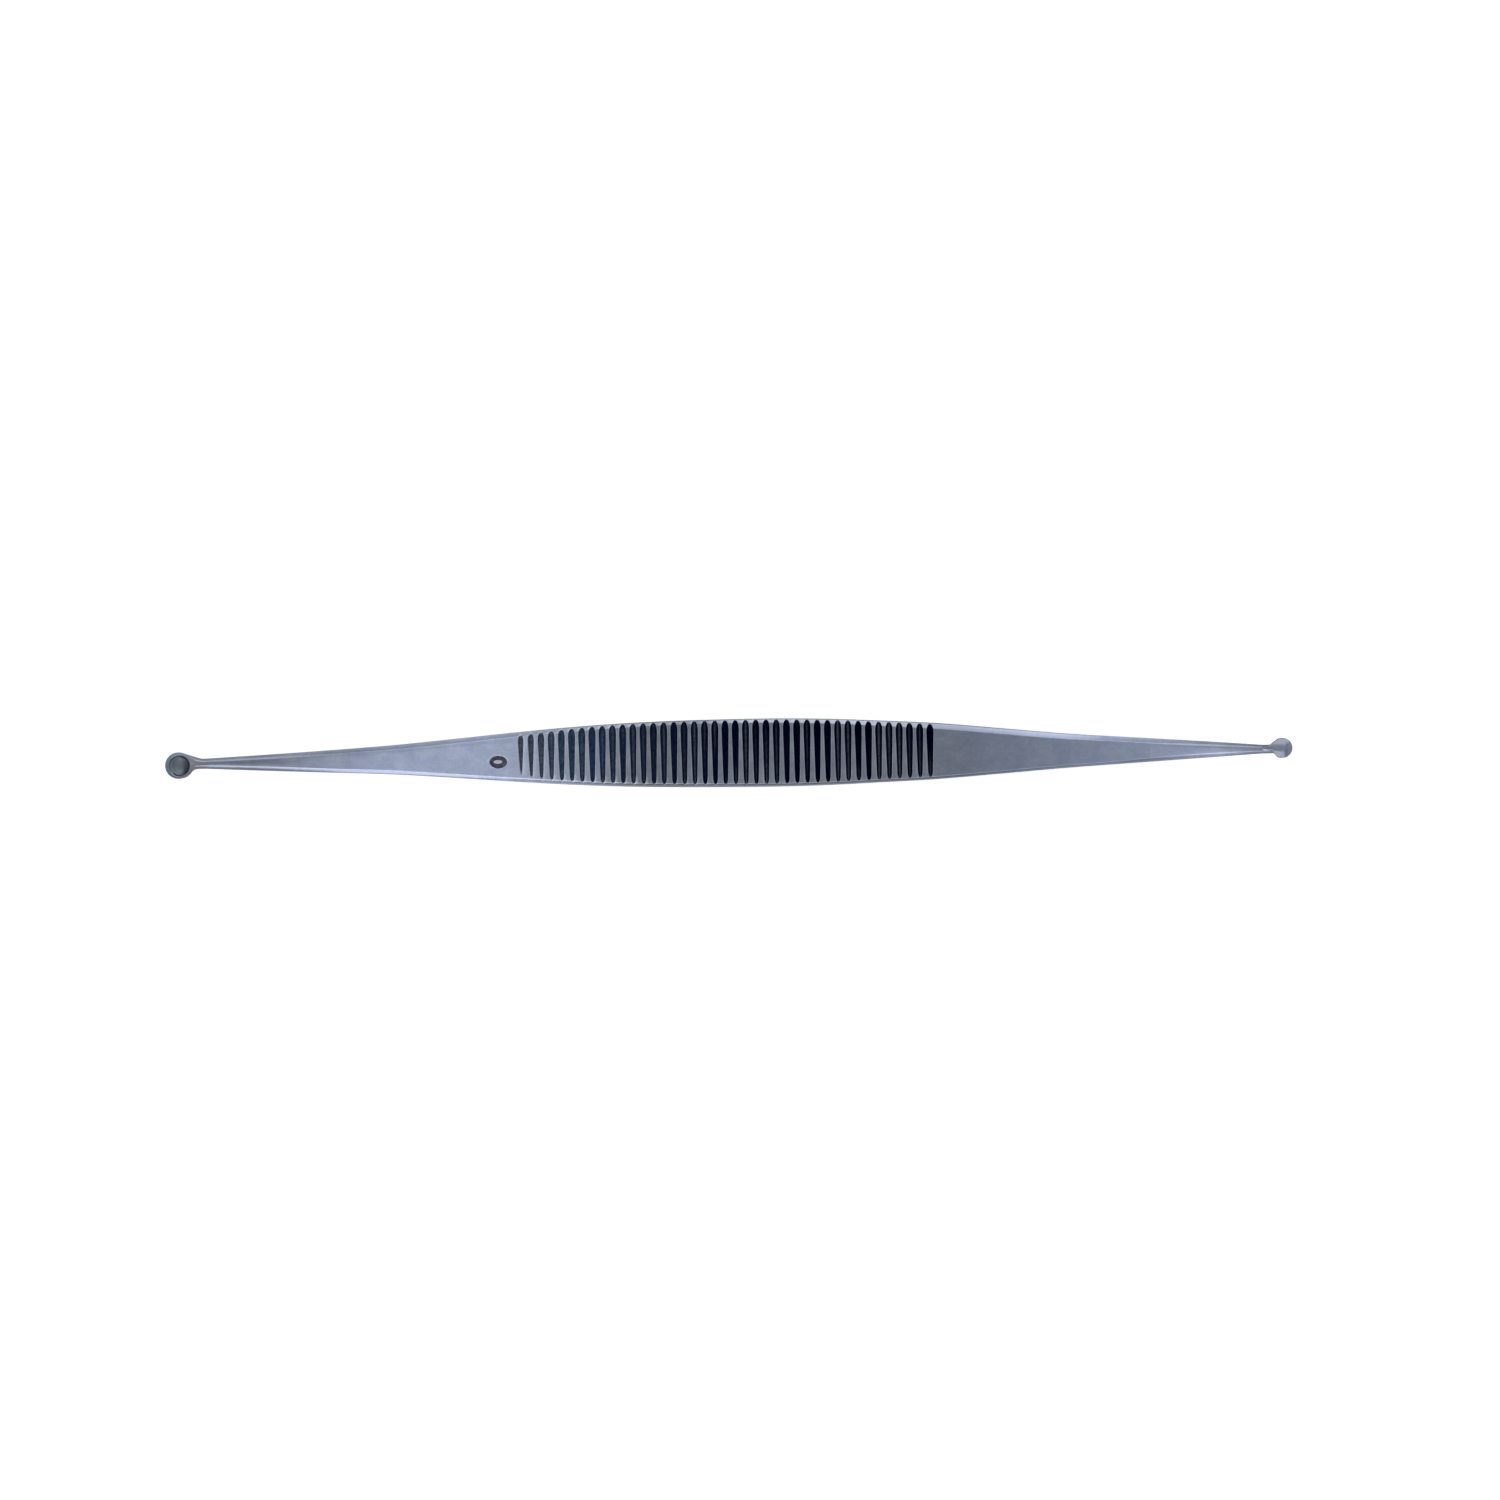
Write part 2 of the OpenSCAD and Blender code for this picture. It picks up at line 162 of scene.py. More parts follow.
def smooth_min(a, b, blend):
    share = np.clip(0.5 + 0.5 * (b - a) / blend, 0, 1)
    return b * (1 - share) + a * share - blend * share * (1 - share)


def smooth_max(a, b, blend):
    return -smooth_min(-a, -b, blend)


def half_width(x):
    return curve(WIDTH, x) / 2


def mid_y(x):
    return curve(BOW, x)


def half_thick(x):
    x = np.asarray(x, float)
    t = (x - LARGE_NECK_X) / LARGE_SHANK
    large = (LARGE_NECK_RADIUS
             + (ROOT_HALF_THICK - LARGE_NECK_RADIUS) * (0.92 * t + 0.08 * t ** 3))
    t = 1 - (x - GRIP_START) / DROP_LENGTH
    sinking = GRIP_HALF_THICK - FACE_DROP * (0.3 * t * t + 0.7 * t ** 3 * (2 - t))
    t = (SMALL_NECK_X - x) / SMALL_SHANK
    small = (SMALL_NECK_RADIUS
             + (GRIP_HALF_THICK - SMALL_NECK_RADIUS) * (1.35 * t - 0.35 * t * t))
    return np.where(x < GRIP_START, large,
                    np.where(x < GRIP_START + DROP_LENGTH, sinking,
                             np.where(x <= GRIP_END, GRIP_HALF_THICK, small)))


def roundness(x):
    """1 where the section is an ellipse (at the necks), 0 where it is fully bevelled."""
    x = np.asarray(x, float)
    large = 1 - ease((x - LARGE_NECK_X) / LARGE_SHANK / 0.5)
    small = 1 - ease((SMALL_NECK_X - x) / SMALL_SHANK / 0.5)
    return np.where(x < GRIP_START, large, np.where(x > GRIP_END, small, 0.0))


def bevel(table, x):
    return curve(table, np.clip(x, GRIP_START, GRIP_END))


def capped_bevel(table, x):
    """Bevel width, kept within the slim ends of the tool."""
    return np.minimum(bevel(table, x), 0.55 * np.minimum(half_width(x), half_thick(x)))


# ------------------------------------------------------- the bevelled section
# The section has eight sides. Corner k is k * 45 - 22.5 degrees round from +Y, and
# side k runs from corner k to the next, so side 0 faces +Y, 2 up, 4 -Y and 6 down.
# Lines run along the tool. A "corner" line's place is its share of the corner's
# curve; a "share" line's, of the whole side; a "middle" line's, of the stretch
# between the near and far lines. "near" and "far" places are mm from the side's ends.
Line = namedtuple("Line", "kind side place")
TOP, BOTTOM = 2, 6
CORNER_RADIUS = [0.36, 0.36, 0.2, 0.5, 0.6, 0.6, 0.5, 0.2]
FULL_THICK, FULL_WIDTH = 1.27, 3.0    # half sizes below which the corner radii shrink
FULL_SIDE = 5.0                       # side length below which near and far lines close up
CORNER_SPAN = 0.1                     # share of 45 degrees each side of a rounded corner


def inner_shares(points):
    """Equal shares of a side, without its ends."""
    return np.linspace(0, 1, points)[1:-1]


def make_lines(plus, minus, middle, top_shares=None):
    """Lines round the section; plus and minus are distances in from the +Y and -Y
    edges of the flat faces."""
    lines = []

    def add(kind, places):
        lines.extend(Line(kind, side, place) for place in places)

    for side in range(8):
        add("corner", np.linspace(0, 1, 6))
        if side == TOP and top_shares is not None:
            add("share", top_shares)
        elif side in (TOP, BOTTOM):
            near, far = (plus, minus) if side == TOP else (minus, plus)
            add("near", near)
            add("middle", inner_shares(middle + 2))
            add("far", far[::-1])
        else:
            add("share", inner_shares(8 if side in (0, 4) else 6))
    return lines


def side_share(line, lines, length):
    """How far along its side a line lies, from 0 to 1."""
    squeeze = np.minimum(1.0, length / FULL_SIDE)
    if line.kind == "share":
        return np.full_like(length, line.place)
    if line.kind == "near":
        return line.place * squeeze / length
    if line.kind == "far":
        return 1 - line.place * squeeze / length
    near, far = (max(other.place for other in lines if other[:2] == (kind, line.side))
                 for kind in ("near", "far"))
    start, end = near * squeeze / length, 1 - far * squeeze / length
    return start + (end - start) * line.place


def section(x, lines):
    """Y, and Z from mid thickness, of each line at each x: (rings,) or (rings, lines)."""
    x = np.asarray(x, float)
    if x.ndim == 1:
        x = np.repeat(x[:, None], len(lines), axis=1)
    wide, thick, rounded = half_width(x), half_thick(x), roundness(x)
    plus, minus = capped_bevel(PLUS_BEVEL, x), capped_bevel(MINUS_BEVEL, x)
    plus_depth = plus * curve(PLUS_DEPTH, x)
    minus_depth = minus * curve(MINUS_DEPTH, x)
    corner_y = [wide, wide, wide - plus, minus - wide,
                -wide, -wide, minus - wide, wide - plus]
    corner_z = [plus_depth - thick, thick - plus_depth, thick, thick,
                thick - minus_depth, minus_depth - thick, -thick, -thick]
    scale = np.minimum(1.0, thick / FULL_THICK) * np.minimum(1.0, wide / FULL_WIDTH)

    def rounding(number, j):
        """Start, sharp corner and end of the curve that rounds a corner."""
        before, corner, after = (np.stack([corner_y[k % 8][:, j], corner_z[k % 8][:, j]])
                                 for k in (number - 1, number, number + 1))
        arriving, leaving = corner - before, after - corner
        length_in, length_out = np.hypot(*arriving), np.hypot(*leaving)
        tangent = np.minimum(CORNER_RADIUS[number % 8] * scale[:, j] * math.tan(math.pi / 8),
                             0.42 * np.minimum(length_in, length_out))
        return (corner - arriving / length_in * tangent, corner,
                corner + leaving / length_out * tangent)

    y, z = np.empty_like(x), np.empty_like(x)
    for j, line in enumerate(lines):
        if line.kind == "corner":
            start, corner, end = rounding(line.side, j)
            t = line.place
            point = start * (1 - t) ** 2 + 2 * corner * t * (1 - t) + end * t * t
            turn = CORNER_SPAN * (2 * t - 1)
        else:
            start, end = rounding(line.side, j)[2], rounding(line.side + 1, j)[0]
            share = side_share(line, lines, np.hypot(*(end - start)))
            point = start + (end - start) * share
            turn = CORNER_SPAN + (1 - 2 * CORNER_SPAN) * share
        angle = np.radians(45 * line.side - 22.5 + 45 * turn)
        flat, curved = 1 - rounded[:, j], rounded[:, j]
        y[:, j] = point[0] * flat + wide[:, j] * np.cos(angle) * curved
        z[:, j] = point[1] * flat + thick[:, j] * np.sin(angle) * curved
    return y + mid_y(x), z


# ------------------------------------------------- painted light and shade on the bare steel
# (x, brightness) of the bevels on the +Y side, then on the -Y side: painted light and shade
PLUS_GAIN = [
    (-65, 1.0), (-53, 0.86), (-46, 0.82), (-38, 0.82), (-30, 0.9), (-21, 0.88),
    (-10, 1.12), (-4, 0.85), (2.6, 1.35), (15, 1.45), (26, 1.3), (34, 1.28),
    (40, 1.36), (46, 1.55), (52, 1.3), (58, 0.8)]
MINUS_GAIN = [
    (-66, 1.0), (-53, 0.98), (-46, 0.86), (-40, 0.77), (-28, 0.74), (-20, 0.8),
    (-14, 0.8), (-5, 0.77), (2, 0.66), (12, 0.58), (20, 0.67), (32, 0.67),
    (40, 0.73), (46, 0.78), (52, 0.76), (58, 0.8)]
# (x, brightness) of the corners where the -Y bevels meet the -Y side: a painted highlight
MINUS_EDGE_GAIN = [(-34, 1.0), (-26, 1.3), (-16, 1.5), (-4, 1.75), (20, 1.75),
                   (30, 1.4), (46, 1.3), (54, 1.0)]
# (place across from the -Y side, -1, to the +Y side, 1; brightness) on the round necks: painted
# bands of light and shade
LARGE_NECK_GAIN = [(-1.0, 0.9), (-0.85, 0.9), (-0.7, 1.2), (-0.3, 1.3), (-0.12, 0.95),
                   (0.1, 0.8), (0.3, 0.8), (0.5, 0.95), (0.8, 1.1), (1.0, 1.1)]
SMALL_NECK_GAIN = [(-1.0, 0.75), (-0.85, 0.8), (-0.7, 1.05), (-0.35, 1.05), (-0.15, 0.95),
                   (0.15, 0.85), (0.3, 0.66), (0.8, 0.68), (1.0, 0.85)]


def facet_weights(lines):
    """How much each line belongs to the +Y bevels, the -Y bevels, the corners at the
    -Y side, and the inner edge of the upper +Y bevel."""
    weights = []
    for kind, side, t in lines:
        if kind == "corner":
            tables = ({7: t, 0: 1 - t, 1: t, 2: 1 - t}, {3: t, 4: 1 - t, 5: t, 6: 1 - t},
                      {4: 0.7 + 0.3 * t, 5: 1 - 0.3 * t}, {2: 1 - t})
        else:
            tables = ({1: 1, 7: 1}, {3: 1, 5: 1},
                      {3: 0.7 * t, 4: abs(1 - 2 * t), 5: 0.7 * (1 - t)}, {1: t})
        weights.append([float(table.get(side, 0)) for table in tables])
    return np.array(weights).T


def large_neck_share(x):
    """Rises from 0 on the large cup to 1 on the shank."""
    return ease((x - LARGE_NECK_X + 0.9) / 2.2)


def shading(x, y, lines):
    """Brightness of the bare steel at each point: painted light and shade, differing between facets,
    bevels and necks.
    """
    plus, minus, minus_edge, inner = facet_weights(lines)
    gain = (1 + plus * (look_up(x, PLUS_GAIN) - 1) + minus * (look_up(x, MINUS_GAIN) - 1)
            + minus_edge * (look_up(x, MINUS_EDGE_GAIN) - 1))
    # painted shade: the upper +Y bevel darkens toward the flat face
    off_grip = np.interp(x, [GRIP_START + 2, GRIP_START + 12, GRIP_END - 6, GRIP_END + 4],
                         [1, 0.3, 0.3, 1])
    gain = gain * (1 - 0.32 * inner * off_grip)
    # near the large cup, painted shade also darkens the top face along its +Y edge
    into = np.clip(mid_y(x) + half_width(x) - capped_bevel(PLUS_BEVEL, x) - y, 0, None)
    top = np.array([float(line.kind != "corner" and line.side == TOP) for line in lines])
    gain = gain * (1 - 0.2 * top * np.exp(-(into / 0.4) ** 2)
                   * np.clip((GRIP_START + 4 - x) / 8, 0, 1))
    across = (y - mid_y(x)) / half_width(x)
    # painted shade: the small shank is darker on its +Y side near the neck
    plus_side_shade = 1 - (np.interp(x, [54, 59, 62, 65.5], [0, 0.15, 0.24, 0])
                * ease((across - 0.1) / 0.3))
    neck = np.where(x < 0, look_up(across, LARGE_NECK_GAIN),
                    look_up(across, SMALL_NECK_GAIN) * plus_side_shade)
    share = np.where(x < 0, large_neck_share(x), 1.0)
    return gain + ease(roundness(x)) * share * (neck - gain)


# -------------------------------------------------------------------- meshes
def finish_mesh(mesh, attributes, sharp_degrees):
    """Add the four point attributes the materials read, and put the mesh in the scene."""
    for key, values in zip(("cavity", "depth", "edge", "shade"), attributes):
        attribute = mesh.attributes.new(key, "FLOAT", "POINT")
        attribute.data.foreach_set("value", np.asarray(values, np.float32))
    mesh.shade_smooth()
    mesh.set_sharp_from_angle(angle=math.radians(sharp_degrees))
    piece = bpy.data.objects.new(mesh.name, mesh)
    bpy.context.scene.collection.objects.link(piece)
    return piece


def loft(name, x, y, z, attributes):
    """A closed mesh from a grid of rings (rows along X), with a flat fan at each end."""
    rings, count = x.shape
    points = np.stack([x, y, z], axis=-1).reshape(-1, 3)
    hubs = np.stack([points[:count].mean(axis=0), points[-count:].mean(axis=0)])
    points = np.concatenate([points, hubs])
    here = np.arange(count)
    beside = (here + 1) % count
    ring = np.arange(rings - 1)[:, None] * count
    quads = np.stack([ring + here, ring + beside, ring + beside + count, ring + here + count],
                     axis=-1).reshape(-1, 4)
    last = (rings - 1) * count
    start_fan = np.stack([np.full(count, rings * count), beside, here], axis=-1)
    end_fan = np.stack([np.full(count, rings * count + 1), last + here, last + beside], axis=-1)
    mesh = bpy.data.meshes.new(name)
    mesh.from_pydata((points * MM).tolist(), [],
                     quads.tolist() + start_fan.tolist() + end_fan.tolist())
    mesh.validate()
    mesh.update()
    padded = [np.concatenate([values.reshape(-1), [0.0, 0.0]]) for values in attributes]
    return finish_mesh(mesh, padded, sharp_degrees=50)


# ------------------------------------------------------------- the ribbed grip
def cutter_radius(along, length):
    """Radius of the groove's cutter at a distance from its narrow end."""
    tapering = np.maximum(length - RUNOUT - HEAD, 0.1)
    body = NARROW_RADIUS + ((BROAD_RADIUS - NARROW_RADIUS)
                            * np.clip((along - RUNOUT) / tapering, 0, 1))
    back = np.clip(1 - along / RUNOUT, 0, 1)
    tail = (np.sqrt(np.clip(1 - back * back, 0, 1)) * 0.75
            + 0.25 * np.clip(along / RUNOUT, 0, 1))
    back = np.clip((along - (length - HEAD)) / HEAD, 0, 1)
    head = np.sqrt(np.clip(1 - back * back, 0, 1))
    return np.where((along > 0) & (along < length), body * tail * head, 0.0)


def groove(centre, x, y, surface):
    """Distance from the narrow end of the groove at centre, its cutter's radius and
    its axis height, for points at x, y on a surface of that height."""
    narrow_end = mid_y(centre) - half_width(centre) + NARROW_GAP
    broad_end = mid_y(centre) + half_width(centre) - BROAD_GAP
    along = y - narrow_end
    # the groove runs lower where it crosses the +Y bevel
    dip = 0.6 * np.clip(half_thick(x) - surface, 0, 0.35) * (y > mid_y(x))
    axis = GRIP_HALF_THICK + AXIS_LIFT - FOLLOW * (GRIP_HALF_THICK - half_thick(centre)) - dip
    return along, cutter_radius(along, broad_end - narrow_end), axis


def grip_rings():
    """(x, kind, place) of every ring: "in" rings lie inside a groove, from -1 to 1,
    with "edge" rings just outside it and a "lip" ring past its +X edge."""
    rings = [(GRIP_START, "plain", 0), (GRIP_START + 0.06, "plain", 0)]
    for i in range(GROOVES):
        centre = FIRST_GROOVE + i * PITCH
        rings.append((centre, "edge", -1))
        rings += [(centre, "in", place) for place in np.linspace(-1, 1, 13)]
        rings += [(centre, "edge", 1), (centre, "lip", 1)]
        if i < GROOVES - 1:
            rings.append((centre + PITCH / 2, "plain", 0))
    return rings + [(x, "plain", 0) for x in np.linspace(LAST_GROOVE + 0.56, GRIP_END, 5)]


def fit_rings(lines):
    """x of each line in each ring, with the rings drawn round the groove openings."""
    rings = grip_rings()
    centres = np.array([ring[0] for ring in rings])
    y, z = section(centres, lines)
    column = centres[:, None]
    _, radius, axis = groove(column, column, y, np.abs(z))
    sink = np.clip(axis - np.abs(z), 0.0, None)
    opening = np.sqrt(np.clip(radius ** 2 - sink ** 2, 0, None))
    reach = np.maximum(opening, 0.16)
    x = np.repeat(column, len(lines), axis=1)
    for row, (centre, kind, place) in enumerate(rings):
        if kind == "in":
            # equal steps of angle round the cutter where the groove is deep enough
            sine = np.clip(opening[row] / np.maximum(radius[row], 1e-6), 0, 1)
            full = np.where(radius[row] > 1e-6, np.arcsin(sine), 0)
            share = np.where(full > 0.3,
                             np.sin(place * full) / np.maximum(np.sin(full), 1e-6), place)
            x[row] = centre + share * reach[row]
        elif kind == "edge":
            x[row] = centre + place * (reach[row] + 0.035)
        elif kind == "lip":
            x[row] = centre + reach[row] + 0.085
    x[1:-1] = np.clip(x[1:-1], GRIP_START + 0.01, GRIP_END - 0.01)
    return x


def make_grip():
    lines = make_lines(plus=[0.05, 0.12, 0.2, 0.28, 0.36, 0.45, 0.55, 0.7],
                       minus=[0.04, 0.1, 0.17, 0.25, 0.34, 0.44, 0.56, 0.7, 0.86, 1.05, 1.3],
                       middle=5)
    x = fit_rings(lines)
    y, z = section(x, lines)
    surface = np.abs(z)
    nearest = np.clip(np.round((x - FIRST_GROOVE) / PITCH), 0, GROOVES - 1)
    centre = FIRST_GROOVE + nearest * PITCH
    along, radius, axis = groove(centre, x, y, surface)
    offset = x - centre
    cut = np.where(np.abs(offset) < radius,
                   axis - np.sqrt(np.clip(radius ** 2 - offset ** 2, 0, None)), axis + 1.0)
    cut = np.where(surface > 0.35, cut, surface + 1.0)
    # the lip on the +X side is rubbed rounder
    height = smooth_min(surface, cut, 0.035 + 0.075 * np.clip(offset / 0.12, 0, 1))
    cavity = ease(np.clip((surface - height - 0.008) / 0.05, 0, 1))
    sink = np.clip(axis - surface, 0, None)
    opening = np.sqrt(np.clip(radius ** 2 - sink ** 2, 1e-4, None))
    # the polished line at the bottom of each groove
    polish = np.exp(-(offset / opening / 0.2) ** 2) * cavity
    # painted highlight along the edges of each groove
    rim = np.sqrt(np.clip(radius ** 2 - (axis - surface) ** 2, 0, None))
    edge = np.exp(-((np.abs(offset) - rim) / 0.05) ** 2)
    edge = np.where((radius > 0.05) & (surface > GRIP_HALF_THICK - 0.9), edge, 0)
    # painted glints: bright slivers beside the -Y ends of the first grooves
    glint = (np.exp(-((offset - opening - 0.07) / 0.07) ** 2)
             * ease((1.2 - along) / 0.5) * ease((along + 0.1) / 0.2))
    edge = edge + (2.6 * glint * np.clip(-x / 12, 0, 1)
                   * np.clip((x - GRIP_START - 1) / 3, 0, 1))
    return loft("ribbed_grip_forged", x, y, MID_Z + np.sign(z) * height,
                (cavity, polish, edge, shading(x, y, lines)))


# ------------------------------------------------------------------ the shanks
# A sunk oval channel on top of the large shank, round a raised oval
MARK_X = GRIP_START - 2.3
MARK_Y = float(mid_y(MARK_X)) - 0.58
MARK_REACH_X, MARK_REACH_Y = 1.3, 0.95    # half size of the patch with close lines
OUTER_OVAL = (1.14, 0.82)                 # half sizes in X and Y
INNER_OVAL = (0.5, 0.21)
MARK_DEPTH = 0.21


def make_large_shank():
    middle, wide = float(mid_y(MARK_X)), float(half_width(MARK_X))
    plus_edge = middle + wide - float(bevel(PLUS_BEVEL, MARK_X))
    minus_edge = middle - wide + float(bevel(MINUS_BEVEL, MARK_X))
    start, end = ((plus_edge - (MARK_Y + reach)) / (plus_edge - minus_edge)
                  for reach in (MARK_REACH_Y, -MARK_REACH_Y))
    top = np.concatenate([np.linspace(0, start, 8)[1:-1], np.linspace(start, end, 46),
                          np.linspace(end, 1, 7)[1:-1]])
    inset = np.linspace(0.1, 1.2, 5)
    lines = make_lines(inset, inset, 6, top)
    mark_start, mark_end = MARK_X - MARK_REACH_X, MARK_X + MARK_REACH_X
    rings = np.concatenate([np.linspace(LARGE_NECK_X, mark_start, 170)[:-1],
                            np.linspace(mark_start, mark_end, 66)[:-1],
                            np.linspace(mark_end, GRIP_START, 8)])
    y, z = section(rings, lines)
    x = np.repeat(rings[:, None], len(lines), axis=1)
    from_x, from_y = x - MARK_X, y - MARK_Y
    outer = np.hypot(from_x / OUTER_OVAL[0], from_y / OUTER_OVAL[1])
    inner = np.hypot((from_x + 0.06) / INNER_OVAL[0], (from_y - 0.02) / INNER_OVAL[1])
    # distances in from the outer oval and out from the inner one
    inward, outward = (1 - outer) * 0.9, (inner - 1) * 0.27
    upper = z > 0
    channel = ease(np.clip(np.minimum(inward, outward * 1.2) / 0.15, 0, 1)) * upper
    stain = ease(np.clip(np.minimum(inward / 0.09, outward / 0.05), 0, 1)) * upper
    lip = np.exp(-((outer - 1.06) / 0.09) ** 2) * 0.02 * upper * (np.abs(from_x) < 1.6)
    # painted highlight along the +Y lip of the channel and on the raised oval
    mark_highlight = np.clip(lip * 45 * (from_y > 0), 0, 1) + ease(np.clip((1.15 - inner) / 0.4, 0, 1)) * upper
    return loft("large_shank_forged", x, y, MID_Z + (z - MARK_DEPTH * channel + lip * (z > 0.5)),
                (stain, stain * 0.12, mark_highlight * 3.0, shading(x, y, lines)))


def make_small_shank():
    inset = np.linspace(0.1, 1.4, 6)
    lines = make_lines(inset, inset, 10)
    rings = np.linspace(GRIP_END, SMALL_NECK_X, 190)
    y, z = section(rings, lines)
    x = np.repeat(rings[:, None], len(lines), axis=1)
    none = np.zeros_like(x)
    return loft("small_shank_forged", x, y, MID_Z + z,
                (none, none, none, shading(x, y, lines)))


# -------------------------------------------------------------------- the cups
# Each cup is the zero surface of a distance field, in a local frame with its origin
# at the cup's centre, +X toward the neck and +Z up.
def surface_nets(field, low, high, cell):
    """Points and quads over field(points) = 0 in a box, the points put on the surface."""
    low, high = np.array(low, float), np.array(high, float)
    count = np.ceil((high - low) / cell).astype(int) + 1
    axes = [low[i] + cell * np.arange(count[i]) for i in range(3)]
    grid = np.stack(np.meshgrid(*axes, indexing="ij"), axis=-1)
    value = field(grid.reshape(-1, 3)).reshape(count)
    solid = value < 0
    corners = list(np.ndindex(2, 2, 2))
    filled = sum(solid[tuple(slice(c, n - 1 + c) for c, n in zip(corner, count))]
                 .astype(np.int8) for corner in corners)
    cells = np.argwhere((filled > 0) & (filled < 8))
    index = -np.ones(tuple(count - 1), int)
    index[tuple(cells.T)] = np.arange(len(cells))

    # one point a cell, at the mean of the crossings on the cell's edges
    total, crossings = np.zeros((len(cells), 3)), np.zeros(len(cells))
    for start, end in combinations(corners, 2):
        if np.abs(np.subtract(start, end)).sum() != 1:
            continue
        first, last = cells + np.array(start), cells + np.array(end)
        first_value, last_value = value[tuple(first.T)], value[tuple(last.T)]
        crossed = (first_value < 0) != (last_value < 0)
        t = np.where(crossed, first_value / np.where(crossed, first_value - last_value, 1), 0)
        total += (first + (last - first) * t[:, None]) * crossed[:, None]
        crossings += crossed
    points = low + cell * total / crossings[:, None]

    # one quad round each grid edge that the surface crosses
    quads = []
    for axis in range(3):
        before = solid.take(range(count[axis] - 1), axis)
        after = solid.take(range(1, count[axis]), axis)
        edges = np.argwhere(before != after)
        sides = [(axis + 1) % 3, (axis + 2) % 3]
        across = edges[:, sides]
        edges = edges[((across > 0) & (across < count[sides] - 1)).all(axis=1)]
        u, v = np.eye(3, dtype=int)[sides]
        quad = np.stack([index[tuple((edges - shift).T)] for shift in (u + v, v, 0 * u, u)],
                        axis=-1)
        outward = ~before[tuple(edges.T)]
        quad[outward] = quad[outward][:, ::-1]
        quads.append(quad)

    probe = 1e-4
    for _ in range(5):
        error = field(points)
        slope = np.stack([(field(points + d) - field(points - d)) / (2 * probe)
                          for d in np.eye(3) * probe], axis=-1)
        move = error[:, None] * slope / np.maximum((slope ** 2).sum(axis=1), 0.05)[:, None]
        size = np.linalg.norm(move, axis=1, keepdims=True)
        points = points - move * np.minimum(1, 0.5 * cell / np.maximum(size, 1e-9))
    return points, np.concatenate(quads)


def tube(points, *outlines):
    """Approximate distance to a tube of elliptical section, between outlines giving its
    reach toward +Y, -Y, +Z and -Z."""
    x, y, z = points.T
    plus_y, minus_y, plus_z, minus_z = (np.interp(x, *outline) for outline in outlines)
    radius_y, radius_z = (plus_y + minus_y) / 2, (plus_z + minus_z) / 2
    across = (y - (plus_y - minus_y) / 2) / radius_y
    up = (z - (plus_z - minus_z) / 2) / radius_z
    reach = np.hypot(across, up) + 1e-9
    return (reach - 1) * reach / np.hypot(across / radius_y, up / radius_z)


def ellipsoid(points, centre, size):
    """Approximate distance to an ellipsoid with half sizes given by size."""
    scaled = (points - centre) / size
    reach = np.linalg.norm(scaled, axis=1) + 1e-9
    return (reach - 1) * reach / np.linalg.norm(scaled / size, axis=1)


def soften(points, blur):
    """(x, value) arrays of an outline through points, rounded over about blur mm."""
    points = np.array(points, float)
    x = np.linspace(points[0, 0] - 0.5, points[-1, 0] + 0.5, 240)
    value = np.interp(x, points[:, 0], points[:, 1])
    weight = np.exp(-0.5 * (np.arange(-40, 41) * (x[1] - x[0]) / blur) ** 2)
    padded = np.pad(value, 40, mode="edge")
    return x, np.convolve(padded, weight / weight.sum(), mode="valid")


def make_cup(name, field, paint, radius, z_range, cell, origin, neck_x):
    """Mesh a cup's field, cut it flat at the neck and paint it by local position."""
    facing = 1 if neck_x > origin[0] else -1
    mirror = np.array([facing, 1, 1])
    low = (-radius - 0.15, -radius - 0.2, z_range[0])
    high = (abs(neck_x - origin[0]) + 0.25, radius + 0.2, z_range[1])
    points, quads = surface_nets(field, low, high, cell)
    if facing < 0:
        quads = quads[:, ::-1]
    mesh = bpy.data.meshes.new(name)
    mesh.from_pydata(((points * mirror + origin) * MM).tolist(), [], quads.tolist())
    mesh.validate()
    bm = bmesh.new()
    bm.from_mesh(mesh)
    cut = bmesh.ops.bisect_plane(bm, geom=bm.verts[:] + bm.edges[:] + bm.faces[:], dist=1e-9,
                                 plane_co=(neck_x * MM, 0, 0), plane_no=(1, 0, 0),
                                 clear_outer=facing > 0, clear_inner=facing < 0)
    border = [item for item in cut["geom_cut"] if isinstance(item, bmesh.types.BMEdge)]
    bmesh.ops.holes_fill(bm, edges=border, sides=0)
    bmesh.ops.recalc_face_normals(bm, faces=bm.faces)
    bm.to_mesh(mesh)
    bm.free()
    placed = np.empty(len(mesh.vertices) * 3)
    mesh.vertices.foreach_get("co", placed)
    local = (placed.reshape(-1, 3) / MM - origin) * mirror
    return finish_mesh(mesh, paint(local), sharp_degrees=60)


